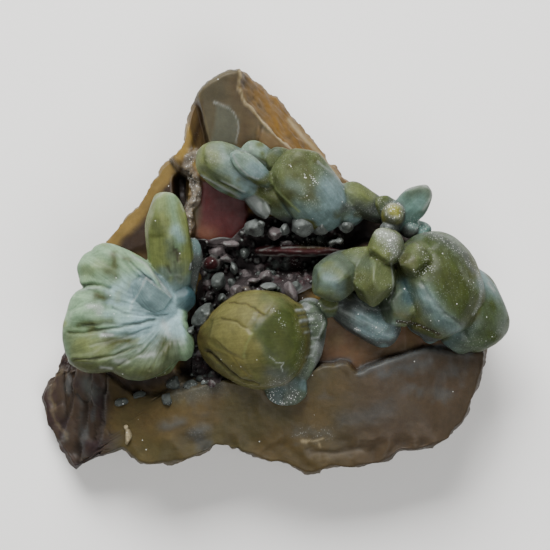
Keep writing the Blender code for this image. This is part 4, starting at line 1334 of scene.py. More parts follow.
UPPER_DETAILS = (
    Detail(((-7.6, 18.0), (-6.6, 16.6)), 1.2, Hue.SKY_GREY, 0.7, shake=0.5),
    Detail(((-9.6, 16.4), (-8.4, 15.4)), 0.7, Hue.LEAF, 0.6, shake=0.5),
    Detail(((-9.9, 16.6), (-9.7, 15.9)), 0.2, Hue.DARK_OLIVE, 0.7),
    Detail(((-8.2, 14.2), (-6.0, 12.8)), 0.9, Hue.GREY_GREEN, 0.6, shake=0.5),
    # painted light: bright silver lines along the tongue's lower edge, where light comes through, and a
    # darker crease beside them as painted shade
    Detail(((-10.4, 14.1), (-8.0, 12.7), (-5.0, 11.1)), 0.15, Hue.SILVER, 0.85, 0.05, shake=0.04),
    Detail(((-7.6, 13.3), (-4.3, 11.7)), 0.13, Hue.SILVER, 0.8, 0.05, shake=0.04),
    Detail(((-8.2, 13.3), (-4.8, 11.5)), 0.16, Hue.DARK_OLIVE, 0.5, -0.12, shake=0.04),
    Detail(((-3.4, 15.2), (-2.0, 14.6)), 0.9, Hue.BLUE_WHITE, 0.75, shake=0.5),
    # silver lines: painted highlights along edges
    Detail(((-5.9, 16.8), (-5.0, 15.2), (-3.8, 14.0), (-2.4, 13.5)), 0.13, Hue.SILVER, 0.8, 0.04, shake=0.05),
    Detail(((-5.6, 17.6), (-3.6, 17.4), (-1.4, 15.8)), 0.12, Hue.SILVER, 0.6, shake=0.05),
    Detail(((-1.6, 12.6), (0.4, 10.2)), 1.3, Hue.DARK_OLIVE, 0.6, shake=0.4),
    Detail(((7.4, 12.6), (8.6, 10.6)), 1.7, Hue.BLUE_WHITE, 0.9, shake=0.7),
    Detail(((2.0, 12.9), (3.2, 12.0)), 1.0, Hue.BLUE_WHITE, 0.25, shake=0.7),
    Detail(((3.6, 16.6), (4.6, 14.2), (5.2, 11.0)), 1.0, Hue.OLIVE, 0.75, shake=0.6),
    Detail(((0.2, 14.6), (1.6, 16.6), (3.6, 17.2)), 0.8, Hue.LEAF, 0.6, shake=0.5),
    Detail(((-0.6, 13.4), (0.2, 12.0), (1.6, 10.6), (3.4, 9.0)), 0.16, Hue.PALE_GREEN, 0.9, 0.05, shake=0.05),
    # a silver line: painted highlight along an edge
    Detail(((6.0, 15.9), (8.0, 14.5), (9.6, 13.0)), 0.15, Hue.SILVER, 0.6, shake=0.05),
    Detail(((4.2, 13.6), (5.6, 12.9)), 0.5, frost=1.0, shake=0.3),
    Detail(((1.9, 15.2), (2.2, 15.2)), 0.22, frost=1.0),
    Detail(((6.3, 14.4), (6.9, 14.2)), 0.3, frost=0.9),
    Detail(((10.8, 12.6), (13.6, 11.4)), 0.8, Hue.YELLOW_GREEN, 0.5, shake=0.4),
    Detail(((10.0, 9.6), (14.6, 9.2)), 0.9, Hue.SMOKE, 0.8, shake=0.5),
    # a silver line: painted highlight along an edge
    Detail(((-1.4, 10.2), (-0.6, 8.6), (-1.4, 7.9)), 0.16, Hue.SILVER, 0.7, shake=0.05),
)
WING_DETAILS = (
    Detail(((19.2, 9.6), (20.6, 10.4)), 1.0, Hue.TEAL, 0.9, shake=0.3),
    Detail(
        ((17.2, 11.6), (20.4, 12.9), (22.0, 12.2), (22.1, 11.0), (21.0, 9.2)), 0.2, Hue.FROST, 0.5, shake=0.05
    ),
    Detail(ring((16.9, 9.1), 1.35), 0.45, Hue.SMOKE, 0.7, 0.08, shake=0.3),
    Detail(ring((16.9, 9.1), 1.0), 0.3, Hue.FROST, 0.4, frost=1.0, shake=0.4),
    Detail(((16.5, 9.3), (17.3, 8.7)), 0.5, Hue.LEMON, 0.85, frost=0.6, shake=0.4),
    Detail(((19.6, 7.4), (21.2, 6.8)), 0.9, Hue.TEAL, 0.8, frost=0.4, shake=0.4),
)


@dataclass
class UpperGroup(CrystalGroup):
    """The tongue-shaped crystals along the hollow's upper edge."""

    name: str = "upper_crystals"
    node: str = "upper_group"
    slot: str = "green_crystal"
    finish: Finish = CRYSTAL_FINISH
    crystals: tuple[Crystal | Shell, ...] = (
        Crystal((-1.0, 12.0, 14.6), (-10.9, 17.2, 18.2), 3.1, 2.6, 0.15, 2.6, 0.30, TONGUE),
        Crystal((-0.6, 12.8, 18.0), (-6.1, 17.3, 20.4), 1.5, 1.3, 0.15, 2.5, 0.35, SMALL_TONGUE),
        Crystal((0.6, 15.0, 13.4), (-4.4, 18.2, 16.8), 1.8, 1.5, 0.05, 2.4, 0.20, SMALL_TONGUE),
        Crystal((3.0, 14.0, 13.2), (-0.8, 17.6, 16.6), 2.0, 1.6, 0.05, 2.4, 0.20, SLOPE),
        Crystal((8.9, 7.6, 13.6), (1.0, 16.6, 19.8), 4.3, 3.3, 0.10, 2.6, 0.30, BIG_LOBE),
        Crystal((4.4, 8.6, 11.6), (-2.2, 13.4, 16.8), 2.9, 2.4, 0.10, 2.4, 0.20, SLOPE),
        Crystal((12.4, 8.8, 12.4), (6.4, 10.4, 16.2), 2.4, 2.2, 0.00, 2.4, 0.20, BIG_LOBE),
        Crystal((16.2, 8.2, 12.2), (9.4, 12.4, 15.8), 2.0, 1.8, 0.10, 2.3, 0.20, SLOPE),
        Crystal((10.4, 8.0, 12.6), (10.0, 6.4, 15.4), 1.0, 1.0, 0.00, 2.2, 0.00, GREY_BALL),
        Crystal((-4.4, 12.4, 15.2), (-1.0, 8.2, 17.6), 1.2, 0.9, 0.10, 3.0, 0.40, PLATE),
    )
    details: tuple[Detail, ...] = UPPER_DETAILS


@dataclass
class WingGroup(CrystalGroup):
    """The small wing and its round neighbours at the upper right."""

    name: str = "wing_crystals"
    node: str = "wing_group"
    slot: str = "green_crystal"
    finish: Finish = CRYSTAL_FINISH
    crystals: tuple[Crystal | Shell, ...] = (
        Crystal((16.2, 6.8, 12.4), (21.8, 12.2, 18.6), 2.2, 1.4, 0.15, 2.5, 0.30, WING),
        Crystal((18.0, 8.0, 11.6), (14.4, 10.8, 15.4), 1.6, 1.2, 0.10, 2.4, 0.20, SLOPE),
        Crystal((16.8, 7.4, 12.6), (16.8, 9.2, 18.6), 1.6, 1.6, 0.00, 2.4, 0.25, GLASS_BALL),
        Crystal((16.4, 6.2, 12.4), (16.2, 6.9, 17.4), 1.3, 1.2, 0.00, 2.3, 0.20, GREY_BALL),
        Crystal((18.4, 6.6, 12.0), (20.0, 7.0, 15.8), 1.4, 1.2, 0.00, 2.4, 0.20, GREY_BALL),
        Crystal((18.8, 6.6, 12.0), (22.0, 6.2, 15.0), 1.4, 1.3, 0.00, 2.4, 0.20, TEAL_PIECE),
    )
    details: tuple[Detail, ...] = WING_DETAILS
    voxel: float = 0.12


DARK_FACE = (
    (21.4, 5.0), (24.4, 4.0), (27.0, 1.8), (28.6, -1.6), (28.6, -4.4), (26.8, -6.6), (24.0, -5.6),
    (21.6, -3.4), (19.8, 0.4),
)
RIGHT_DETAILS = (
    Detail(DARK_FACE, 0.9, Hue.MOSS, 0.85, -0.25, filled=True, shake=0.5),
    Detail(((22.6, 1.4), (26.0, -2.2)), 2.0, Hue.DARK_OLIVE, 0.5, shake=0.5),
    Detail(((20.6, -2.4), (23.0, -6.0), (25.6, -8.0)), 1.3, Hue.SKY_GREY, 0.85, shake=0.4),
    Detail(((18.2, -1.2), (18.6, -3.4)), 1.0, Hue.DEEP_TEAL, 0.8, shake=0.4),
    # a sunk crease laid darker: painted shade
    Detail(((20.4, -1.0), (21.6, -3.2), (23.6, -5.4), (26.4, -7.2)), 0.3, Hue.SMOKE, 0.4, -0.2, shake=0.15),
    # painted glints along the far lobe's edge
    Detail(
        ((28.6, 0.4), (29.2, -1.8), (28.9, -4.2), (28.0, -5.6)), 0.22, Hue.SILVER, 0.45, frost=0.3, shake=0.1
    ),
    Detail(((21.0, 6.2), (23.6, 5.2), (26.4, 3.2), (28.2, 0.8)), 0.5, Hue.SMOKE, 0.7, frost=0.3, shake=0.5),
    Detail(((29.4, -1.0), (31.0, -2.4)), 0.9, Hue.SKY_GREY, 0.85, shake=0.3),
    # painted glints on the far lobe
    Detail(((30.4, -1.2), (31.2, -2.2)), 0.25, Hue.SILVER, 0.8, shake=0.1),
    Detail(((30.6, -5.2), (29.6, -8.6)), 1.9, Hue.MOSS, 0.75, shake=0.4),
    Detail(((23.0, -3.0), (28.0, 1.0)), 2.2, frost=0.05, shake=0.6),
    Detail(((7.2, -0.4), (8.6, -1.6)), 1.3, Hue.SKY_GREY, 0.7, shake=0.5),
    Detail(((6.4, -2.6), (7.4, -4.2)), 0.8, Hue.YELLOW_GREEN, 0.6, shake=0.3),
    Detail(((10.2, -0.4), (10.6, -3.0)), 0.6, Hue.DARK_OLIVE, 0.7, shake=0.2),
    Detail(((10.2, 2.2), (13.0, 1.6)), 1.0, Hue.GREY_GREEN, 0.7, shake=0.3),
    Detail(((13.0, -1.0), (13.6, -2.8)), 1.3, Hue.LEAF, 0.6, shake=0.4),
    # thin silver lines: painted highlights along edges
    Detail(((16.3, 1.6), (16.5, -0.6), (16.5, -2.8), (16.0, -3.8)), 0.14, Hue.SILVER, 0.6, shake=0.04),
    Detail(((11.4, -3.0), (12.6, -4.5), (14.6, -5.0), (16.0, -4.6)), 0.14, Hue.SILVER, 0.45, shake=0.05),
    Detail(((6.2, -4.0), (7.8, -4.9), (9.6, -4.2)), 0.14, Hue.SILVER, 0.45, shake=0.05),
    Detail(((16.2, -1.8), (16.4, -2.4)), 0.3, frost=0.9, shake=0.2),
    Detail(((14.8, 5.8), (16.4, 5.2), (16.6, 3.4)), 0.9, Hue.FROST, 0.6, frost=1.0, shake=0.6),
    Detail(((13.2, 4.2), (14.4, 2.6), (15.6, 2.8)), 0.7, Hue.YELLOW_GREEN, 0.7, shake=0.3),
    Detail(((20.4, 4.0), (21.6, 2.6), (21.4, 0.6), (19.6, 0.0)), 0.4, frost=0.45, shake=0.6),
    Detail(((18.2, 1.6), (18.8, 1.0)), 0.8, Hue.OLIVE, 0.7, shake=0.3),
    # a bright streak along the blue lobe: painted sheen
    Detail(((9.4, -5.0), (12.0, -6.4), (15.0, -7.6)), 0.35, Hue.SILVER, 0.6, shake=0.3),
    Detail(((12.0, -6.0), (14.6, -7.4)), 1.1, Hue.BLUE_WHITE, 0.55, shake=0.5),
    Detail(((12.0, -7.6), (14.4, -8.8), (15.8, -8.6)), 0.5, Hue.BLUE_WHITE, 0.7, shake=0.3),
    Detail(((16.6, -7.0), (16.6, -8.4)), 0.5, Hue.BLUE_WHITE, 0.6, shake=0.2),
    # a silver dot: painted glint
    Detail(((11.4, -7.6), (11.9, -7.8)), 0.2, Hue.SILVER, 0.9, frost=0.8),
    Detail(((17.0, -5.4), (19.4, -6.3)), 0.6, Hue.OLIVE, 0.8, shake=0.3),
    # painted shade: umber in the sunk crack along the striated edge
    Detail(
        ((17.2, -6.6), (19.6, -6.9), (21.4, -7.6), (23.0, -8.4)),
        0.22, Hue.UMBER, 0.8, -0.15, frost=0.5, shake=0.2
    ),
)


@dataclass
class RightGroup(CrystalGroup):
    """The lumpy green and blue group at the right."""

    name: str = "right_crystals"
    node: str = "right_group"
    slot: str = "dark_crystal"
    finish: Finish = DARK_FINISH
    crystals: tuple[Crystal | Shell, ...] = (
        Crystal((10.0, 1.5, 13.4), (7.1, -2.0, 23.2), 3.1, 3.3, 0.10, 3.0, 0.50, BARREL),
        Crystal((14.6, 2.0, 14.0), (13.6, -2.3, 24.4), 2.85, 3.3, 0.08, 3.2, 0.50, GREEN_BARREL),
        Crystal((16.8, 4.2, 15.6), (14.6, 3.8, 24.2), 2.6, 2.3, 0.10, 2.6, 0.35, SUGARED),
        Crystal((20.6, 2.6, 14.6), (19.3, 1.5, 23.2), 2.4, 2.4, 0.10, 2.5, 0.30, GREEN_BARREL),
        Crystal((21.2, 5.6, 14.6), (25.2, -8.8, 16.8), 5.9, 6.4, 0.10, 2.3, 0.10, DARK_DOME),
        Crystal((25.6, 0.8, 11.6), (30.8, -10.4, 14.0), 4.4, 5.0, 0.10, 2.3, 0.15, FAR_LOBE),
        Crystal((8.4, -3.6, 14.6), (17.5, -8.7, 17.0), 2.8, 2.3, 0.12, 2.6, 0.15, BLUE_LOBE),
        Crystal((17.8, 1.0, 13.8), (17.6, -6.9, 20.2), 2.9, 2.8, 0.15, 2.5, 0.30, BARREL),
        Crystal((22.2, -1.0, 13.2), (22.4, -9.2, 17.4), 3.4, 3.0, 0.05, 2.4, 0.15, BLUE_LOBE),
        Crystal((18.0, 1.6, 13.0), (8.4, 0.6, 18.8), 3.0, 2.8, 0.05, 2.5, 0.20, GREEN_BARREL),
        Crystal((10.4, -3.4, 13.2), (6.0, -5.0, 16.8), 1.6, 1.6, 0.05, 2.4, 0.20, BARREL),
        Crystal((24.0, -6.0, 12.6), (28.8, -9.8, 15.2), 2.8, 2.6, 0.10, 2.4, 0.20, FAR_LOBE),
        Crystal((21.6, -7.4, 13.4), (22.5, -9.4, 16.2), 1.2, 1.1, 0.00, 2.2, 0.00, PALE_BALL),
        Crystal((24.6, -7.4, 12.6), (25.5, -9.2, 15.6), 1.3, 1.3, 0.00, 2.2, 0.00, PALE_BALL),
    )
    details: tuple[Detail, ...] = RIGHT_DETAILS
    voxel: float = 0.17


# The stone


@dataclass
class Facet:
    """One flat of the broken face: a point on it and its rise along X and along Y."""

    point: Point
    rise: Place

    def height(self, x: np.ndarray, y: np.ndarray) -> np.ndarray:
        """The flat's height at places in plan."""
        return self.point[2] + self.rise[0] * (x - self.point[0]) + self.rise[1] * (y - self.point[1])


STONE_DETAILS = (
    # painted shade: near-black in the gap under the fan's lower edge
    Detail(((-21.0, -15.2), (-16.0, -15.0), (-11.5, -14.0)), 1.7, Hue.BLACK_AND_SHADE, 0.9, shake=0.6),
    # painted shade: umber in the slit beside the peak and on the band next to the fan
    Detail(((-10.6, 24.4), (-10.6, 22.4), (-11.3, 19.6), (-12.0, 18.0)), 0.5, Hue.UMBER, 0.8, shake=0.2),
    Detail(((-13.4, 16.0), (-14.4, 12.0)), 0.8, Hue.UMBER, 0.6, shake=0.4),
    Detail(((-16.4, 10.0), (-18.4, 6.8), (-20.4, 3.8)), 1.1, Hue.UMBER, 0.7, shake=0.5),
    Detail(((4.0, -23.8), (4.4, -23.9)), 0.3, Hue.CREAM, 0.9),
    Detail(((4.4, -23.8), (5.6, -23.7), (6.9, -23.4)), 0.13, Hue.CREAM, 0.7, shake=0.3),
    Detail(((6.0, -23.6), (6.6, -24.6)), 0.12, Hue.CREAM, 0.5, shake=0.3),
    Detail(((-8.2, 24.5), (-6.4, 23.6), (-5.3, 22.0), (-5.5, 18.8)), 0.1, Hue.FROST, 0.3, 0.05, shake=0.3),
    Detail(((-8.7, 24.6), (-8.2, 24.4)), 0.15, Hue.FROST, 0.5, 0.06),
    Detail(((-5.4, 27.6), (-5.0, 25.0), (-3.0, 22.8)), 0.9, Hue.UMBER, 0.35, shake=0.6),
    Detail(((-4.2, 21.4), (-4.4, 17.0)), 0.7, Hue.UMBER, 0.35, shake=0.5),
    Detail(
        ((2.1, 22.4), (3.9, 20.1), (5.9, 18.0), (7.6, 16.1), (9.0, 14.0)), 0.35, Hue.CREAM, 0.7, shake=0.1
    ),
    # a groove laid darker: painted shade
    Detail(((-2.6, 15.0), (-2.6, 18.6), (-1.8, 21.4)), 0.15, Hue.UMBER, 0.5, -0.1, shake=0.2),
    Detail(((1.6, 17.8), (3.6, 16.4), (4.8, 15.4)), 0.5, Hue.RUST, 0.6, shake=0.2),
    Detail(
        ((12.0, -13.9), (12.4, -13.3), (16.0, -12.2), (21.6, -10.6), (26.4, -9.8)),
        0.4, Hue.SKIN_BLUE, 0.9, 0.1
    ),
    Detail(((5.6, -12.9), (8.0, -12.5), (10.6, -12.2)), 0.5, Hue.SKIN_BLUE, 0.7, shake=0.4),
    Detail(((15.0, -14.2), (19.0, -13.0), (22.0, -12.6)), 0.9, Hue.SKIN_BLUE, 0.6, shake=0.8),
    Detail(((10.0, -20.6), (16.0, -19.4)), 1.2, Hue.SKIN_BLUE, 0.4, shake=0.9),
    Detail(((-14.0, -16.6), (-8.0, -15.8)), 1.4, Hue.SMOKE, 0.5, frost=0.05, shake=0.9),
    Detail(((-16.0, -21.6), (-13.4, -20.8)), 0.7, Hue.SKIN_BLUE, 0.6, 0.1, shake=0.5),
    Detail(((-11.8, -22.8), (-10.8, -22.4)), 0.9, Hue.SKIN_BLUE, 0.7, 0.15, frost=0.05, shake=0.4),
    Detail(((-27.6, -15.6), (-26.2, -17.4)), 1.0, Hue.SMOKE, 0.7, shake=0.5),
    Detail(((3.0, -22.4), (7.6, -22.8)), 0.8, Hue.SMOKE, 0.4, frost=0.12, shake=0.9),
    Detail(((5.0, -25.4), (8.0, -25.8), (12.0, -25.2)), 0.6, Hue.BONE, 0.4, -0.25, shake=0.6),
    Detail(((-31.6, -14.0), (-33.0, -17.6), (-32.2, -21.0), (-30.4, -23.6)), 0.3, Hue.CREAM, 0.2, shake=0.8),
)


@dataclass
class Stone:
    """The broken wedge of brown, waxy stone with the hollow in its face."""

    centre: Place = (-2.0, -4.0)
    outline: Path = (
        (-5.0, 28.9), (-7.6, 28.0), (-10.0, 26.4), (-11.1, 24.4), (-12.1, 20.7), (-12.6, 18.6), (-13.7, 17.1),
        (-17.2, 13.6), (-19.5, 9.6), (-24.0, 4.6), (-27.1, -3.6), (-29.9, -10.0), (-31.4, -13.6),
        (-33.6, -18.2), (-32.6, -21.7), (-30.7, -24.3), (-28.6, -27.6), (-25.4, -25.6), (-21.9, -24.4),
        (-18.1, -26.6), (-13.9, -26.1), (-8.6, -24.0), (-5.0, -24.3), (2.1, -26.6), (5.3, -27.9),
        (7.9, -27.0), (12.9, -26.7), (17.9, -24.9), (24.4, -22.9), (27.2, -19.4), (28.9, -14.0),
        (30.0, -7.9), (29.3, -3.6), (26.7, 0.7), (23.6, 4.3), (20.7, 6.7), (12.1, 11.0), (9.1, 14.0),
        (7.6, 16.2), (5.9, 18.1), (3.9, 20.2), (2.1, 22.5), (0.2, 25.1), (-1.9, 26.2), (-3.7, 27.8),
    )
    spread: float = 1.015
    levels: tuple[float, ...] = (0.0, 0.18, 0.42, 0.72, 1.0)
    insets: tuple[float, ...] = (4.4, 2.0, 0.7, -0.1, 0.0)
    facets: dict[str, Facet] = field(
        default_factory=lambda: {
            "ledge": Facet((0.0, -13.0, 16.6), (0.0, 0.30)),
            "left": Facet((-14.0, -6.0, 14.6), (0.40, 0.02)),
            "right": Facet((20.0, -4.0, 15.4), (-0.34, 0.05)),
            "rear": Facet((0.0, 12.0, 14.6), (0.02, 0.05)),
            "left_edge": Facet((-14.5, 9.0, 11.6), (0.62, -0.50)),
            "red": Facet((0.0, 8.0, 12.6), (0.0, 0.16)),
        }
    )
    ridge: Path = (
        (-5.2, 29.4), (-5.3, 26.7), (-4.4, 24.3), (-1.9, 21.9), (0.0, 19.6), (2.1, 17.9), (4.6, 15.2),
        (9.5, 10.2), (15.5, 6.0), (21.0, 1.0), (25.5, -6.0),
    )
    # the two ends of a trough's floor, the half widths of its floor and its rim, and the floor's height
    hollows: tuple[tuple, ...] = (
        ((-7.0, 3.6), (3.5, 4.0), 2.6, 6.4, 8.0),
        ((3.5, 4.0), (14.0, 7.0), 1.4, 4.0, 8.5),
        ((-7.5, 2.0), (-11.4, -12.6), 1.3, 3.6, 8.5),
        ((-13.6, 13.6), (-13.4, 9.6), 0.4, 1.5, 6.5),
    )
    rim_wall: Path = (
        (-10.9, 17.4), (-12.2, 16.7), (-12.7, 15.0), (-11.6, 14.0), (-11.2, 12.2), (-11.5, 10.6),
        (-12.4, 9.7), (-12.6, 8.0), (-12.4, 6.4),
    )
    rim_wall_size: tuple[float, float] = (1.3, 0.6)  # its height and its half width
    silhouette: Path = ((-12.8, 18.4), (-17.4, 13.6), (-19.8, 9.6), (-24.2, 4.6))
    skin_edge: Path = (
        (-26.0, -13.5), (-20.0, -17.3), (-15.5, -17.0), (-8.0, -14.8), (0.0, -16.0), (5.0, -13.5),
        (7.0, -12.7), (10.3, -12.4), (11.6, -14.0), (12.3, -13.6), (15.0, -12.3), (18.5, -11.2),
        (21.4, -10.4), (28.0, -11.0),
    )
    # where a plate's edge crosses y = -20, its lean, and how far the stone steps down there
    plate_edges: tuple[Point, ...] = ((-24.6, 0.10, 0.9), (-27.6, 0.16, 1.0), (-30.2, 0.22, 1.2))
    red_patch: Path = (
        (-11.0, 14.0), (-8.0, 13.4), (-4.0, 11.4), (-3.6, 8.4), (-4.4, 4.4), (-8.8, 3.8), (-11.6, 5.2),
        (-12.0, 8.8),
    )
    rust_line: tuple[Place, Place] = ((-10.4, 6.0), (-9.4, 5.6))
    chalcedony: Path = ((-8.2, 24.6), (-6.2, 24.0), (-5.2, 22.0), (-5.6, 18.6), (-9.6, 18.6), (-8.4, 21.6))
    flap: Path = ((-2.4, 21.2), (0.2, 19.4), (4.8, 15.4), (-3.4, 15.4), (-2.6, 18.6))
    spokes: int = 600
    face_rings: int = 136
    flank_rings: int = 18
    back_shares: tuple[float, ...] = (0.85, 0.6, 0.3)  # where the back's rings lie, as shares of its radius

    def lowest(self, heights: list[np.ndarray]) -> np.ndarray:
        """The lowest of several heights, its ridges rounded: -b log(sum exp(-height / b)), with b 0.25 mm."""
        low = np.min(heights, axis=0)
        return low - 0.25 * np.log(sum(np.exp((low - height) / 0.25) for height in heights))

    def beyond(self, x: np.ndarray, y: np.ndarray) -> tuple[np.ndarray, np.ndarray]:
        """Where places lie from the peak's ridge.

        Args:
            x: places along X.
            y: places along Y.

        Returns:
            How far they lie beyond it, square to its run, and how far along it.
        """
        points = np.array(self.ridge)
        run = (points[-1] - points[0]) / np.linalg.norm(points[-1] - points[0])
        side = np.array([-run[1], run[0]])
        along = (x - points[0, 0]) * run[0] + (y - points[0, 1]) * run[1]
        across = (x - points[0, 0]) * side[0] + (y - points[0, 1]) * side[1]
        return across - np.interp(along, (points - points[0]) @ run, (points - points[0]) @ side), along

    def sliver(self, x: np.ndarray, y: np.ndarray) -> np.ndarray:
        """How far places lie outside the edge of the sliver at the peak's left."""
        return -11.0 + 0.25 * (24.6 - y) - x

    def slant(self, x: np.ndarray, y: np.ndarray) -> np.ndarray:
        """The height in plan along the slanting line where the sliver gives way to the band below it."""
        return y + 0.8 * (x + 13.0) + 0.5 * np.sin(1.7 * x)

    def skin_share(self, x: np.ndarray, y: np.ndarray) -> np.ndarray:
        """Where the ledge has its smooth skin.

        Args:
            x: places along X.
            y: places along Y.

        Returns:
            1 on the skin and 0 behind its broken edge, which wanders a little.
        """
        edge = np.interp(x, [p[0] for p in self.skin_edge], [p[1] for p in self.skin_edge])
        wander = 0.35 * rough(np.stack([x, y, 0 * x], axis=-1), 1.6, 3, 21)
        return smoothstep(-0.3, 0.3, edge + wander - y)

    def height(self, x: np.ndarray, y: np.ndarray) -> np.ndarray:
        """The height of the stone's face above its back.

        Args:
            x: places along X.
            y: places along Y.

        Returns:
            The lowest of the flats and the fresh break, sunk where the hollows and the sliver are, raised
            along the rim wall, then laid under the ledge's skin and stepped down plate by plate at the left.
        """
        left_edge = self.facets["left_edge"].height(x, y) + 20.0 * smoothstep(14.5, 17.5, self.slant(x, y))
        beyond, along = self.beyond(x, y)
        fresh = 15.3 - 0.06 * along - 1.45 * beyond
        flats = [self.facets[name].height(x, y) for name in ("left", "right", "rear")]
        inner = np.maximum(self.lowest([*flats, left_edge, fresh]), 2.5)
        outside = self.sliver(x, y)
        drop = 3.2 - np.clip(outside, 0.0, 2.4)
        inner = inner - drop * smoothstep(-0.4, 0.4, outside) * smoothstep(15.8, 18.4, self.slant(x, y))
        for start, end, floor_half, rim_half, floor in self.hollows:
            wall = smoothstep(floor_half, rim_half, line_distance(x, y, start, end))
            inner = np.minimum(inner, floor + (inner - floor) * wall)
        red_face = self.facets["red"].height(x, y)
        inner = inner + (red_face - inner) * inside(x, y, self.red_patch, 0.5)
        wall_height, wall_reach = self.rim_wall_size
        inner = inner + wall_height * np.exp(-((path_distance(x, y, self.rim_wall) / wall_reach) ** 2))
        ledge = self.lowest([self.facets[name].height(x, y) for name in ("ledge", "right", "left")])
        below = np.minimum(inner, ledge - 1.7)
        height = below + (ledge - below) * self.skin_share(x, y)
        for edge_x, lean, fall in self.plate_edges:
            line_x = edge_x + lean * (y + 20.0)
            wander = 0.5 * rough(np.stack([x, y, 0 * x], axis=-1), 2.0, 3, 4)
            fallen = smoothstep(-0.25, 0.25, line_x - x + wander)
            height = height - fall * fallen * (1.0 - smoothstep(-12.0, -8.0, y))
        return height

    def surface(self) -> Skin:
        """The stone before its fine relief.

        Returns:
            Rings about the centre: out over the face, down the broken flanks and in under the flat back.
            A ring of the face lies at a share of the outline's radius, and a ring of the flank at a level of
            the rim's height, drawn in by that level's inset.
        """
        angle = np.arange(self.spokes) * math.tau / self.spokes
        angle = angle - 0.25 * np.sin(angle - math.pi / 2)
        way = np.stack([np.cos(angle), np.sin(angle)], axis=1)
        radius = outline_radius(angle, tuple(map(tuple, np.array(self.outline) * self.spread)), self.centre)
        rim = np.stack([way[:, 0] * radius, way[:, 1] * radius, 0 * radius], axis=1)
        radius = radius + 0.28 * hackly(rim, 3.0, 3, 8) - 0.15
        centre = np.array(self.centre)
        shares = ((np.arange(self.face_rings) + 1) / self.face_rings) ** 0.8
        plan = centre + way * (radius * shares[:, None])[..., None]
        face = np.concatenate([plan, self.height(plan[..., 0], plan[..., 1])[..., None]], axis=-1)
        level = 1.0 - (np.arange(self.flank_rings) + 1) / self.flank_rings
        inset = np.interp(level, self.levels, self.insets)
        plan = centre + way * (radius - inset[:, None])[..., None]
        flank = np.concatenate([plan, (face[-1, :, 2] * level[:, None])[..., None]], axis=-1)
        foot = radius - self.insets[0]
        plan = centre + way * (foot * np.array(self.back_shares)[:, None])[..., None]
        back = np.concatenate([plan, np.zeros((len(plan), self.spokes, 1))], axis=-1)
        hub = (*self.centre, float(self.height(np.array([centre[0]]), np.array([centre[1]]))[0]))
        rings = np.concatenate([face, flank, back])[:, ::-1]
        return Skin.of_rings(rings, hub, (*self.centre, 0.0))

    def masks(self, points: np.ndarray) -> Marks:
        """Where the stone's regions lie.

        Args:
            points: places on the stone, in mm.

        Returns:
            For each region, a share from 0 to 1 at each place.
        """
        x, y, z = points.T
        shake = rough(points, 1.8, 3, 31)
        wx, wy = x + 0.5 * shake, y + 0.5 * rough(points, 1.8, 3, 32)
        beyond, along = self.beyond(x, y)
        peak = smoothstep(12.0, 14.5, y)
        outside = self.sliver(x, y)
        flank = smoothstep(0.25, 1.2, self.height(x, y) - z)
        skin = self.skin_share(x, y)
        crest = np.exp(-(((beyond - 0.05 + 0.3 * shake) / 0.16) ** 2))
        left = 1.0 - smoothstep(-15.0, -11.6, x)
        return {
            "skin": skin,
            "peak": peak * (1.0 - smoothstep(-0.2, 0.2, beyond)) * (1.0 - smoothstep(-0.2, 0.2, outside)),
            "fresh": smoothstep(0.0, 0.5, beyond + 0.25 * shake) * smoothstep(9.0, 12.0, y),
            "ridge": crest * smoothstep(15.0, 17.0, y) * (1.0 - flank),
            "sliver": smoothstep(-0.3, 0.4, outside) * smoothstep(15.5, 17.0, self.slant(x, y)),
            "band": left * smoothstep(1.0, 4.0, y) * (1.0 - smoothstep(16.0, 18.0, y)),
            "rim_wall": smoothstep(0.9, 0.35, path_distance(wx, wy, self.rim_wall)) * (1.0 - flank),
            "rind": smoothstep(2.2, 0.7, path_distance(wx, wy, self.silhouette)),
            "red": inside(wx, wy, self.red_patch, 0.7),
            "chalcedony": inside(wx, wy, self.chalcedony, 0.35),
            "flap": inside(wx, wy, self.flap, 0.4),
            "recess": smoothstep(3.0, 5.5, x) * (1.0 - smoothstep(-8.0, -4.5, y)) * (1.0 - skin),
            "torn": (1.0 - smoothstep(-25.5, -22.5, x + 0.8 * shake)) * (1.0 - smoothstep(-11.0, -7.0, y)),
            "flank": flank,
        }

    def relief(self, points: np.ndarray, masks: Marks) -> np.ndarray:
        """The fine relief along the surface's normal, in mm.

        Args:
            points: places on the stone, in mm.
            masks: the regions there.

        Returns:
            Hackly noise where the stone is broken, faint waves on its skin and the peak, steps across the
            torn plates, and long furrows down the fresh break.
        """
        x, y, z = points.T
        calm = [0.85 * masks[name] for name in ("skin", "peak", "red", "band", "sliver", "recess", "flap")]
        calm = np.maximum.reduce([*calm, 0.6 * masks["fresh"]])
        calm = calm * (1.0 - masks["flank"])
        broken = 0.30 * hackly(points, 3.4, 3, 41) + 0.12 * hackly(points, 1.1, 3, 42)
        waves = 0.10 * rough(points, 5.0, 2, 43) + 0.03 * rough(points, 1.2, 3, 44)
        chips = 0.22 * hackly(points * (1.0, 1.0, 0.5), 3.6, 2, 45) * smoothstep(-21.0, -24.5, y)
        distance, number = pebbles(points * (1.0, 0.42, 0.6), 1.9, 46)
        layers = (0.7 * number - 0.35 - 0.5 * distance**2) * masks["torn"]
        down = np.stack([x * 1.6 + y * 1.2, (y - x) * 0.25, z * 0.25], axis=1)
        furrows = 0.12 * hackly(down, 1.6, 3, 47) * masks["fresh"]
        lips = 0.12 * masks["chalcedony"] + 0.25 * masks["flap"] + 0.10 * masks["ridge"]
        knobs = 0.8 * (0.6 - pebbles(points, 1.0, 48)[0]) * masks["rim_wall"]
        flank = 0.30 * hackly(points, 6.0, 3, 49) * masks["flank"]
        total = broken * (1.0 - calm) + waves * calm + chips * (1.0 - masks["flank"] * 0.4)
        total = total + layers + furrows + lips + knobs + flank
        return total * smoothstep(0.05, 1.6, z)

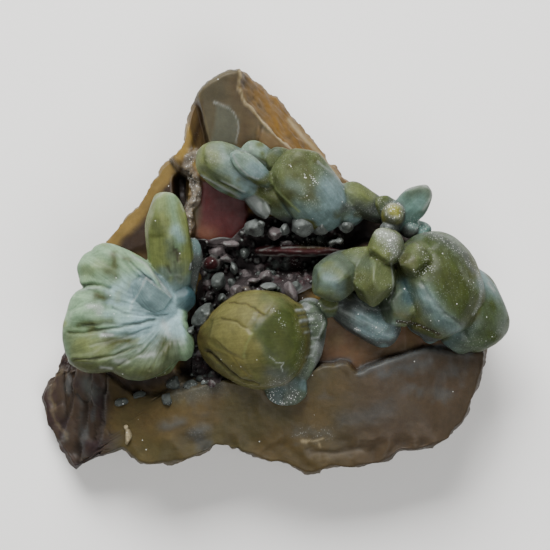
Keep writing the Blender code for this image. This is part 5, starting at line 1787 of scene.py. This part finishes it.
    def tint(self, points: np.ndarray, masks: Marks) -> np.ndarray:
        """The stone's colour.

        Args:
            points: places on the stone, in mm.
            masks: the regions there.

        Returns:
            Linear colours, mixed region by region, with painted shade in the hollow's troughs and on the
            band, and painted light and shade across the sliver.
        """
        x, y, _ = points.T
        cloud = rough(points, 5.0, 3, 51)
        fine = rough(points, 2.2, 3, 53)
        colour = blend(Hue.TORN_BROWN, Hue.BAND_BROWN, smoothstep(-0.3, 0.4, cloud))
        ledge = blend(Hue.SKIN_BROWN, Hue.SKIN_OLIVE, smoothstep(-0.3, 0.4, cloud))
        ledge = blend(ledge, Hue.TORN_BROWN, 0.8 * smoothstep(4.0, 16.0, x + 4.0 * cloud))
        ledge = blend(ledge, Hue.SKIN_BLUE, 0.6 * smoothstep(0.15, 0.6, rough(points, 3.4, 3, 52)))
        torn = blend(Hue.TORN_BROWN.linear() * 0.85, Hue.PLUM.linear() * 0.85, smoothstep(-0.2, 0.5, fine))
        streaks = rough(points * (1.0, 0.5, 1.0), 2.0, 2, 56)
        torn = blend(torn, Hue.SKIN_BLUE, 0.6 * smoothstep(0.2, 0.5, streaks))
        fresh = blend(Hue.ORANGE_BROWN, Hue.TAN, smoothstep(-0.1, 0.6, fine))
        # the band: painted shade in umber on its inner side, next to the fan's tongue, turning to golden
        # brown along the outer edge
        band = blend(Hue.UMBER, Hue.BAND_BROWN, masks["rind"])
        red = blend(Hue.OXBLOOD, Hue.FACE_GREY, smoothstep(-10.0, -11.4, x + 0.6 * fine))
        red = blend(red, Hue.RUST, np.exp(-((line_distance(x, y, *self.rust_line) / 1.3) ** 2)))
        peak = blend(Hue.FACE_GREY, Hue.TAN, 0.6 * smoothstep(-0.2, 0.5, cloud))
        # painted light and shade on the sliver: a brighter copy of the band's brown along its lit outer edge,
        # and tan on its shaded inner side
        shadow = smoothstep(-0.2, 0.2, x + 11.9 + 0.28 * (y - 20.0))
        sliver = blend(Hue.BAND_BROWN.linear() * 1.3, Hue.TAN, shadow)
        for name, region in (
            ("peak", peak),
            ("band", band),
            ("recess", blend(Hue.TAN, Hue.RUST, np.clip(0.2 + 0.4 * fine, 0.0, 1.0))),
            ("skin", ledge),
            ("torn", torn),
            ("chalcedony", Hue.CHALCEDONY),
            ("flap", Hue.TAN.linear() * 1.15),
            ("fresh", fresh),
            ("sliver", sliver),
            ("red", red),
            ("rim_wall", Hue.BONE),
            ("ridge", Hue.CREAM),
        ):
            colour = blend(colour, region, masks[name])
        edge = path_distance(x, y, self.skin_edge[-5:])
        colour = blend(colour, Hue.SKIN_BLUE, np.exp(-((edge / 0.7) ** 2)) * masks["skin"])
        # painted shade: the hollow's troughs laid near-black, except on the red patch and the rim wall
        hollow_shade = np.zeros(len(points))
        for start, end, floor_half, rim_half, _ in self.hollows:
            near = line_distance(x, y, start, end)
            hollow_shade = np.maximum(hollow_shade, 1.0 - smoothstep(floor_half, rim_half * 0.8, near))
        bright = np.maximum(masks["red"], masks["rim_wall"])
        colour = blend(colour, Hue.BLACK_AND_SHADE, hollow_shade * (1.0 - bright) * 0.9)
        side = blend(Hue.TORN_BROWN, Hue.TAN, smoothstep(-0.3, 0.4, cloud))
        sunk = self.height(x, y) - points[:, 2] + 1.2 * fine
        return blend(colour, side, 0.85 * smoothstep(2.0, 6.0, sunk))

    def build(self) -> Object:
        """Makes the piece.

        Returns:
            The finished stone, in its node's place.
        """
        skin = self.surface()
        masks = self.masks(skin.points)
        skin.push(self.relief(skin.points, masks))
        skin.points[:, 2] = np.maximum(skin.points[:, 2], 0.0)
        crest = skin.crests(3)
        frost = 0.12 * smoothstep(0.2, 0.6, rough(skin.points, 2.5, 3, 61))
        frost = frost * (1.0 - np.maximum.reduce([masks[name] for name in ("skin", "peak", "fresh", "red")]))
        # tint carries painted shade in the cracks, and the fourth mark a painted highlight on standing edges,
        # faint on the ledge's skin
        marks = {
            "tint": shaded(self.tint(skin.points, masks), crest, 0.12, 0.4),
            "lie": skin.points * 0.3,
            "frost": np.clip(frost + 0.4 * masks["rim_wall"], 0.0, 1.0),
            "rim_highlight": smoothstep(0.04, 0.16, crest) * (1.0 - 0.7 * masks["skin"]),
        }
        skin.push(lay(skin, STONE_DETAILS, marks))
        piece = skin.build("stone_body", marks, STONE_FINISH.material())
        return settle(piece, "stone")


# The crust in the hollow


@dataclass(frozen=True)
class Grain:
    """One ball or stubby plate of the crust."""

    place: Place
    lift: float  # how far its middle stands above the bed
    half_width: float
    half_length: float
    hue: Hue = Hue.LILAC_GREY
    turn: float = 0.0  # in plan, in degrees

    @property
    def half_height(self) -> float:
        """Half its height, in mm: more where it stands higher, so that its foot still meets the bed."""
        return max((self.half_width + self.half_length) / 2, 0.6 * self.lift + 0.5)

    def skin(self, top: float, rows: int = 9, columns: int = 14) -> Skin:
        """The grain's closed surface.

        Args:
            top: the bed's height under it, in mm.
            rows: rings from pole to pole.
            columns: points round each ring.

        Returns:
            An egg: sin and cos of the lean times its half sizes, turned in plan, planed and knobbly.
        """
        lean = (np.arange(rows) + 1) / (rows + 1) * math.pi
        round_it = np.arange(columns) * math.tau / columns
        grid_round, grid_lean = np.meshgrid(round_it, lean)
        across = np.cos(grid_round) * np.sin(grid_lean) * self.half_width
        along = np.sin(grid_round) * np.sin(grid_lean) * self.half_length
        tall = self.half_height
        cos, sin = math.cos(math.radians(self.turn)), math.sin(math.radians(self.turn))
        x = self.place[0] + across * cos - along * sin
        y = self.place[1] + across * sin + along * cos
        rings = np.stack([x, y, top + self.lift - np.cos(grid_lean) * tall], axis=-1)
        middle = np.array([*self.place, top + self.lift])
        chance = np.random.default_rng(int(abs(self.place[0]) * 71 + abs(self.place[1]) * 37))
        size = np.array([self.half_width, self.half_length, tall])
        normals = list(chance.normal(0.0, 1.0, (8, 3)))
        body = planed((rings - middle) / size, normals, chance.uniform(0.62, 0.9, 8), 0.05)
        rings = middle + body * size * (1.0 + 0.16 * rough(rings, 0.7, 2, 71))[..., None]
        low = (self.place[0], self.place[1], top + self.lift - tall)
        high = (self.place[0], self.place[1], top + self.lift + tall)
        return Skin.of_rings(rings, low, high)


@dataclass
class HollowCrust:
    """The dark balls, plates and blade that line the hollow, on one bed."""

    stone: Stone
    centre: Place = (-8.6, 1.2)
    outline: Path = (
        (-6.6, -6.0), (-4.0, -3.2), (4.0, -2.4), (9.8, 2.0), (9.8, 6.9), (4.0, 8.2), (-3.4, 7.6), (-6.2, 5.2),
        (-9.4, 5.0), (-12.0, 5.0), (-10.4, 0.0), (-10.8, -5.0), (-12.2, -14.2), (-10.0, -15.6), (-7.4, -15.2),
        (-7.0, -11.8),
    )
    thickness: float = 1.3
    foot: float = 4.0
    voxel: float = 0.18
    grains: tuple[Grain, ...] = (
        Grain((-9.9, -5.6), 4.7, 1.4, 2.4, Hue.SMOKE, 130),
        Grain((-12.0, -8.0), 4.1, 0.8, 0.6, Hue.SMOKE),
        Grain((-8.0, -0.9), 2.3, 1.2, 1.6, Hue.SMOKE, 140),
        Grain((-6.0, 1.0), 2.5, 0.6, 1.0, Hue.ASH, 10),
        Grain((-9.2, 1.7), 1.9, 1.4, 1.0, Hue.RED_GLASS),
        Grain((-6.9, 2.4), 2.1, 1.1, 0.8),
        Grain((-8.4, 3.5), 1.9, 1.2, 1.0),
        Grain((-6.4, 4.4), 1.9, 1.4, 0.5),
        Grain((-4.4, 3.2), 1.8, 0.8, 0.9, Hue.SMOKE),
        Grain((-1.4, 3.9), 2.2, 1.5, 0.35, Hue.ASH, 28),
        Grain((-3.0, 6.6), 4.6, 1.5, 1.6, Hue.ASH),
        Grain((-1.9, 7.3), 5.4, 0.6, 0.6, Hue.ASH),
        Grain((0.0, 5.9), 4.5, 1.1, 1.1),
        Grain((1.4, 6.5), 4.4, 0.9, 0.9, Hue.ASH),
        Grain((4.0, 7.1), 5.0, 1.7, 1.8, Hue.ASH),
        Grain((6.6, 6.7), 4.5, 1.2, 1.2, Hue.ASH),
        Grain((10.3, 7.0), 5.4, 0.9, 0.7, Hue.ASH),
        Grain((8.2, 4.7), 2.6, 0.8, 0.5, Hue.SILVER, 20),
        Grain((9.2, 4.9), 2.6, 0.6, 0.6, Hue.SILVER),
        Grain((1.7, 4.6), 2.7, 1.1, 0.5),
        Grain((-3.0, -0.8), 2.2, 1.1, 0.5, Hue.LILAC_GREY, 15),
        Grain((-1.3, -0.2), 2.1, 1.0, 1.1, Hue.LILAC_GREY, 30),
        Grain((-0.9, -1.7), 2.5, 1.3, 0.7, Hue.ASH),
        Grain((2.2, -2.2), 1.6, 0.8, 2.0, Hue.LILAC_GREY, 25),
        Grain((-5.6, -2.2), 2.3, 0.8, 1.0, Hue.LILAC_GREY, 120),
        Grain((-11.6, 4.0), 1.9, 0.9, 1.4, Hue.SMOKE),
        Grain((-12.0, 1.6), 1.7, 0.7, 1.6, Hue.SMOKE, 10),
        Grain((-7.6, -3.4), 2.5, 0.7, 0.8, Hue.SMOKE),
    )
    scattered: int = 300
    scatter_box: tuple[Place, Place] = ((-13.0, -16.0), (11.0, 8.8))
    small_hues: dict[Hue, float] = field(  # the share of the scattered grains that has each colour
        default_factory=lambda: {Hue.PLUM: 0.25, Hue.SMOKE: 0.2, Hue.LILAC_GREY: 0.15, Hue.BLACK_AND_SHADE: 0.4}
    )
    spokes: int = 120
    rings: int = 40
    blade: Crystal = Crystal(
        (-2.6, 3.5, 12.1), (9.4, 3.3, 12.8), 0.85, 2.6, 0.0, 3.0, 0.0, BLADE
    )
    details: tuple[Detail, ...] = (
        # painted highlights: silver lines along the blade's lower and upper edges
        Detail(((-2.4, 2.9), (2.6, 2.8), (6.6, 2.7), (8.6, 3.2)), 0.12, Hue.SILVER, 0.6, 0.05, shake=0.25),
        Detail(((-2.2, 3.5), (0.2, 4.3)), 0.14, Hue.SILVER, 0.5, shake=0.3),
        Detail(((1.0, 3.9), (4.0, 4.0), (7.6, 4.2)), 0.12, Hue.SILVER, 0.5, shake=0.2),
        # golden glints on the blade: painted
        Detail(((3.8, 4.2), (7.4, 4.4)), 0.45, Hue.LEMON, 0.25, frost=0.7, shake=0.3),
        Detail(((2.6, 1.8), (3.6, 0.6)), 0.7, Hue.RED_GLASS, 0.7, frost=0.3, shake=0.5),
        # a silver ring: painted glints round the red crystal
        Detail(ring((-9.2, 1.7), 1.2), 0.2, Hue.SILVER, 0.5, shake=0.4),
        # a white dot: painted glint
        Detail(((-7.2, 1.7), (-7.0, 1.6)), 0.25, Hue.FROST, 0.9),
        # a sunk pit laid near-black: painted shade
        Detail(((-3.5, 6.2), (-3.2, 6.0)), 0.3, Hue.BLACK_AND_SHADE, 0.8, -0.2),
        Detail(((-9.8, -6.2), (-9.2, -5.4)), 0.3, Hue.FROST, 0.8, frost=0.5, shake=0.4),
        Detail(((-7.4, -3.9), (-5.4, -2.8), (-4.0, -2.0)), 0.3, Hue.BONE, 0.5, 0.1, shake=0.4),
        Detail(((7.6, 4.6), (9.6, 4.9)), 0.5, Hue.FROST, 0.4, frost=0.8, shake=0.4),
    )

    def top(self, x: np.ndarray, y: np.ndarray) -> np.ndarray:
        """The height of the bed's top, which follows the stone."""
        return self.stone.height(x, y) + self.thickness

    def bed(self) -> Skin:
        """The bed under the grains.

        Returns:
            Rings about its centre over the top, then a foot sunk in the stone.
        """
        turn = np.arange(self.spokes) * math.tau / self.spokes
        way = np.stack([np.cos(turn), np.sin(turn)], axis=1)
        reach = way * outline_radius(turn, self.outline, self.centre)[:, None]
        shares = (np.arange(self.rings) + 1) / self.rings
        plan = np.array(self.centre) + reach * shares[:, None, None]
        top = np.concatenate([plan, self.top(plan[..., 0], plan[..., 1])[..., None]], axis=-1)
        foot = np.concatenate([plan[-1:], np.full((1, self.spokes, 1), self.foot)], axis=-1)
        hub = (*self.centre, float(self.top(np.array([self.centre[0]]), np.array([self.centre[1]]))[0]))
        return Skin.of_rings(np.concatenate([top, foot])[:, ::-1], hub, (*self.centre, self.foot))

    def small_grains(self) -> list[Grain]:
        """Little balls of half a millimetre or so, scattered over the bed with a seeded generator.

        Returns:
            Those of them that lie clear of the placed grains.
        """
        chance = np.random.default_rng(12)
        places = chance.uniform(*self.scatter_box, (self.scattered * 4, 2))
        kept = inside(places[:, 0], places[:, 1], self.outline, 0.05) > 0.5
        places = places[kept][: self.scattered]
        sizes = 0.28 + 0.5 * chance.random(len(places)) ** 2.5
        hues = chance.choice(list(self.small_hues), len(places), p=list(self.small_hues.values()))
        lifts = 0.15 + 0.45 * chance.random(len(places))
        return [
            Grain((float(px), float(py)), float(lift), float(size), float(size), hue)
            for (px, py), size, hue, lift in zip(places, sizes, hues, lifts)
            if min(math.dist((px, py), grain.place) / grain.half_width for grain in self.grains) > 0.9
        ]

    def tint(self, points: np.ndarray, grains: list[Grain], tops: list[float]) -> np.ndarray:
        """The crust's colour.

        Args:
            points: places on the crust, in mm.
            grains: its grains.
            tops: the bed's height under each.

        Returns:
            The colour of the grain whose egg comes nearest, or the bed's own dark colour away from them.
        """
        colour = np.tile(Hue.BLACK_AND_SHADE.linear() * 1.3, (len(points), 1))
        best = np.full(len(points), 1.25)
        for grain, top in zip(grains, tops):
            offset = points - (*grain.place, top + grain.lift)
            turn = math.radians(grain.turn)
            across = offset[:, 0] * math.cos(turn) + offset[:, 1] * math.sin(turn)
            along = offset[:, 1] * math.cos(turn) - offset[:, 0] * math.sin(turn)
            level = np.sqrt((across / grain.half_width) ** 2 + (along / grain.half_length) ** 2)
            level = np.hypot(level, 0.9 * offset[:, 2] / grain.half_height)
            mine = level < best
            colour[mine] = grain.hue.linear()
            best[mine] = level[mine]
        # the blade: red glass, going near-black on its underside as painted shade
        distance, _, _, above = self.blade.measure(points)
        near = distance < 0.25
        red = blend(Hue.RED_GLASS, Hue.BLACK_AND_SHADE, smoothstep(0.2, -0.6, above))
        colour[near] = red[near]
        return colour

    def build(self) -> Object:
        """Makes the piece.

        Returns:
            The finished crust, in its node's place.
        """
        grains = [*self.grains, *self.small_grains()]
        places = np.array([grain.place for grain in grains])
        tops = [float(top) for top in self.top(places[:, 0], places[:, 1])]
        skins = [grain.skin(top) for grain, top in zip(grains, tops)]
        skin = fuse([self.bed(), self.blade.skin(), *skins], self.voxel)
        crest = skin.crests(3)
        # tint carries painted shade in the cracks, and the fourth mark a painted highlight on standing edges
        marks = {
            "tint": shaded(self.tint(skin.points, grains, tops), crest, 0.08, 0.5),
            "lie": skin.points,
            "frost": 0.12 * smoothstep(0.1, 0.6, rough(skin.points, 1.5, 3, 82)),
            "rim_highlight": smoothstep(0.03, 0.10, crest),
        }
        skin.push(0.05 * rough(skin.points, 0.5, 2, 81) + lay(skin, self.details, marks))
        piece = skin.build("crust_balls", marks, CRUST_FINISH.material())
        return settle(piece, "hollow_crust")


@dataclass
class LedgeDruse:
    """Blue-grey beads and films on the ledge, and one bright splinter at its front."""

    stone: Stone
    grains: tuple[Grain, ...] = (
        Grain((-21.1, -23.1), 0.1, 0.58, 1.4, Hue.SILVER, -4),
        Grain((-21.4, -21.9), 0.3, 0.4, 0.4, Hue.BONE),
        Grain((-22.0, -18.2), 0.0, 1.1, 0.7, Hue.SMOKE, 20),
        Grain((-19.6, -17.4), 0.0, 1.1, 0.6, Hue.SMOKE, 20),
        Grain((-14.2, -15.6), -0.2, 1.5, 1.2, Hue.SMOKE, 40),
        Grain((-12.2, -16.0), -0.1, 1.4, 1.2, Hue.SMOKE),
        Grain((-10.4, -15.2), 0.1, 1.1, 1.0, Hue.SMOKE),
        Grain((-8.8, -14.6), 0.2, 1.0, 1.0, Hue.SMOKE),
        Grain((-7.4, -14.2), 0.2, 0.9, 0.8, Hue.SMOKE),
        Grain((-15.4, -17.8), -0.1, 0.9, 1.2, Hue.SMOKE),
    )
    splinter: tuple[Place, Place] = ((-21.3, -21.8), (-21.0, -24.4))
    voxel: float = 0.1

    def build(self) -> Object:
        """Makes the piece.

        Returns:
            The finished druse, which stands for no CAD node.
        """
        places = np.array([grain.place for grain in self.grains])
        tops = self.stone.height(places[:, 0], places[:, 1])
        skins = [grain.skin(float(top), 24, 36) for grain, top in zip(self.grains, tops)]
        skin = fuse(skins, self.voxel)
        colour = Hue.SMOKE.linear() * (1.0 + 0.3 * rough(skin.points, 0.8, 2, 83))[:, None]
        bright = np.exp(-((line_distance(*skin.points.T[:2], *self.splinter) / 0.8) ** 2))
        crest = skin.crests(3)
        # the fourth mark is a painted highlight on standing edges; these beads get no painted shade in their
        # cracks
        marks = {
            "tint": shaded(blend(colour, Hue.CREAM, 0.8 * bright), crest, 0.1, 0.0),
            "lie": skin.points,
            "frost": 0.3 * smoothstep(0.1, 0.6, rough(skin.points, 1.0, 2, 84)),
            "rim_highlight": smoothstep(0.02, 0.08, crest),
        }
        return settle(skin.build("ledge_druse", marks, CRUST_FINISH.material()), None)


# The studio


@dataclass
class Studio:
    """A plain pale floor, soft light from beyond the peak, and a camera that looks down, sizes in metres."""

    camera_height: float = 0.40
    focus_height: float = 0.014
    view_width: float = 0.0785714
    sensor_width: float = 36.0  # in mm, as Blender counts a lens
    floor_size: float = 3.0
    key: float = 6.2
    key_place: Point = (-0.08, 0.34, 0.34)
    key_size: float = 0.28
    fill: float = 1.9
    fill_place: Point = (0.12, -0.20, 0.45)
    fill_size: float = 0.35
    world: float = 0.16
    floor_colour: tuple[float, float, float, float] = (0.76, 0.75, 0.73, 1.0)

    def floor(self) -> None:
        """A pale, matt floor under the specimen."""
        half = self.floor_size / 2
        mesh = bpy.data.meshes.new("floor")
        corners = [(-half, -half, 0), (half, -half, 0), (half, half, 0), (-half, half, 0)]
        mesh.from_pydata(corners, [], [(0, 1, 2, 3)])
        material = bpy.data.materials.new("floor")
        material.use_nodes = True
        shader = material.node_tree.nodes["Principled BSDF"]
        shader.inputs["Base Color"].default_value = self.floor_colour
        shader.inputs["Roughness"].default_value = 0.9
        mesh.materials.append(material)
        link("floor", mesh)

    def light(self, name: str, place: Point, energy: float, size: float) -> None:
        """A square lamp that faces the specimen.

        Args:
            name: the lamp's name.
            place: where it stands, in metres.
            energy: its power in watts.
            size: its side, in metres.
        """
        lamp = link(name, bpy.data.lights.new(name, "AREA"))
        lamp.data.energy = energy
        lamp.data.size = size
        lamp.location = place
        lamp.rotation_mode = "QUATERNION"
        lamp.rotation_quaternion = lamp.location.to_track_quat("Z", "Y")

    def camera(self) -> None:
        """The camera above the origin, whose view is view_width wide at the height it is focused on."""
        camera = link("camera", bpy.data.cameras.new("camera"))
        camera.location = (0.0, 0.0, self.camera_height)
        camera.data.sensor_width = self.sensor_width
        camera.data.lens = self.sensor_width * (self.camera_height - self.focus_height) / self.view_width
        camera.data.clip_start = 0.01
        bpy.context.scene.camera = camera

    def build(self) -> None:
        """Sets up the camera, floor, lamps and a dim even surround."""
        self.camera()
        self.floor()
        self.light("key_lamp", self.key_place, self.key, self.key_size)
        self.light("fill_lamp", self.fill_place, self.fill, self.fill_size)
        world = bpy.data.worlds.new("surround")
        world.use_nodes = True
        background = world.node_tree.nodes["Background"]
        background.inputs["Color"].default_value = (1.0, 1.0, 1.0, 1.0)
        background.inputs["Strength"].default_value = self.world
        bpy.context.scene.world = world
        LOG.info("studio: camera, floor and lamps")


def main() -> None:
    """Builds the studio and every piece in order; each piece's size is logged as it is settled."""
    logging.basicConfig(level=logging.INFO, format="%(name)s %(message)s")
    Studio().build()
    stone = Stone()
    crusts = (HollowCrust(stone), LedgeDruse(stone))
    for piece in (stone, LeftFan(), CentreDome(), UpperGroup(), WingGroup(), RightGroup(), *crusts):
        piece.build()


if __name__ == "__main__":
    main()
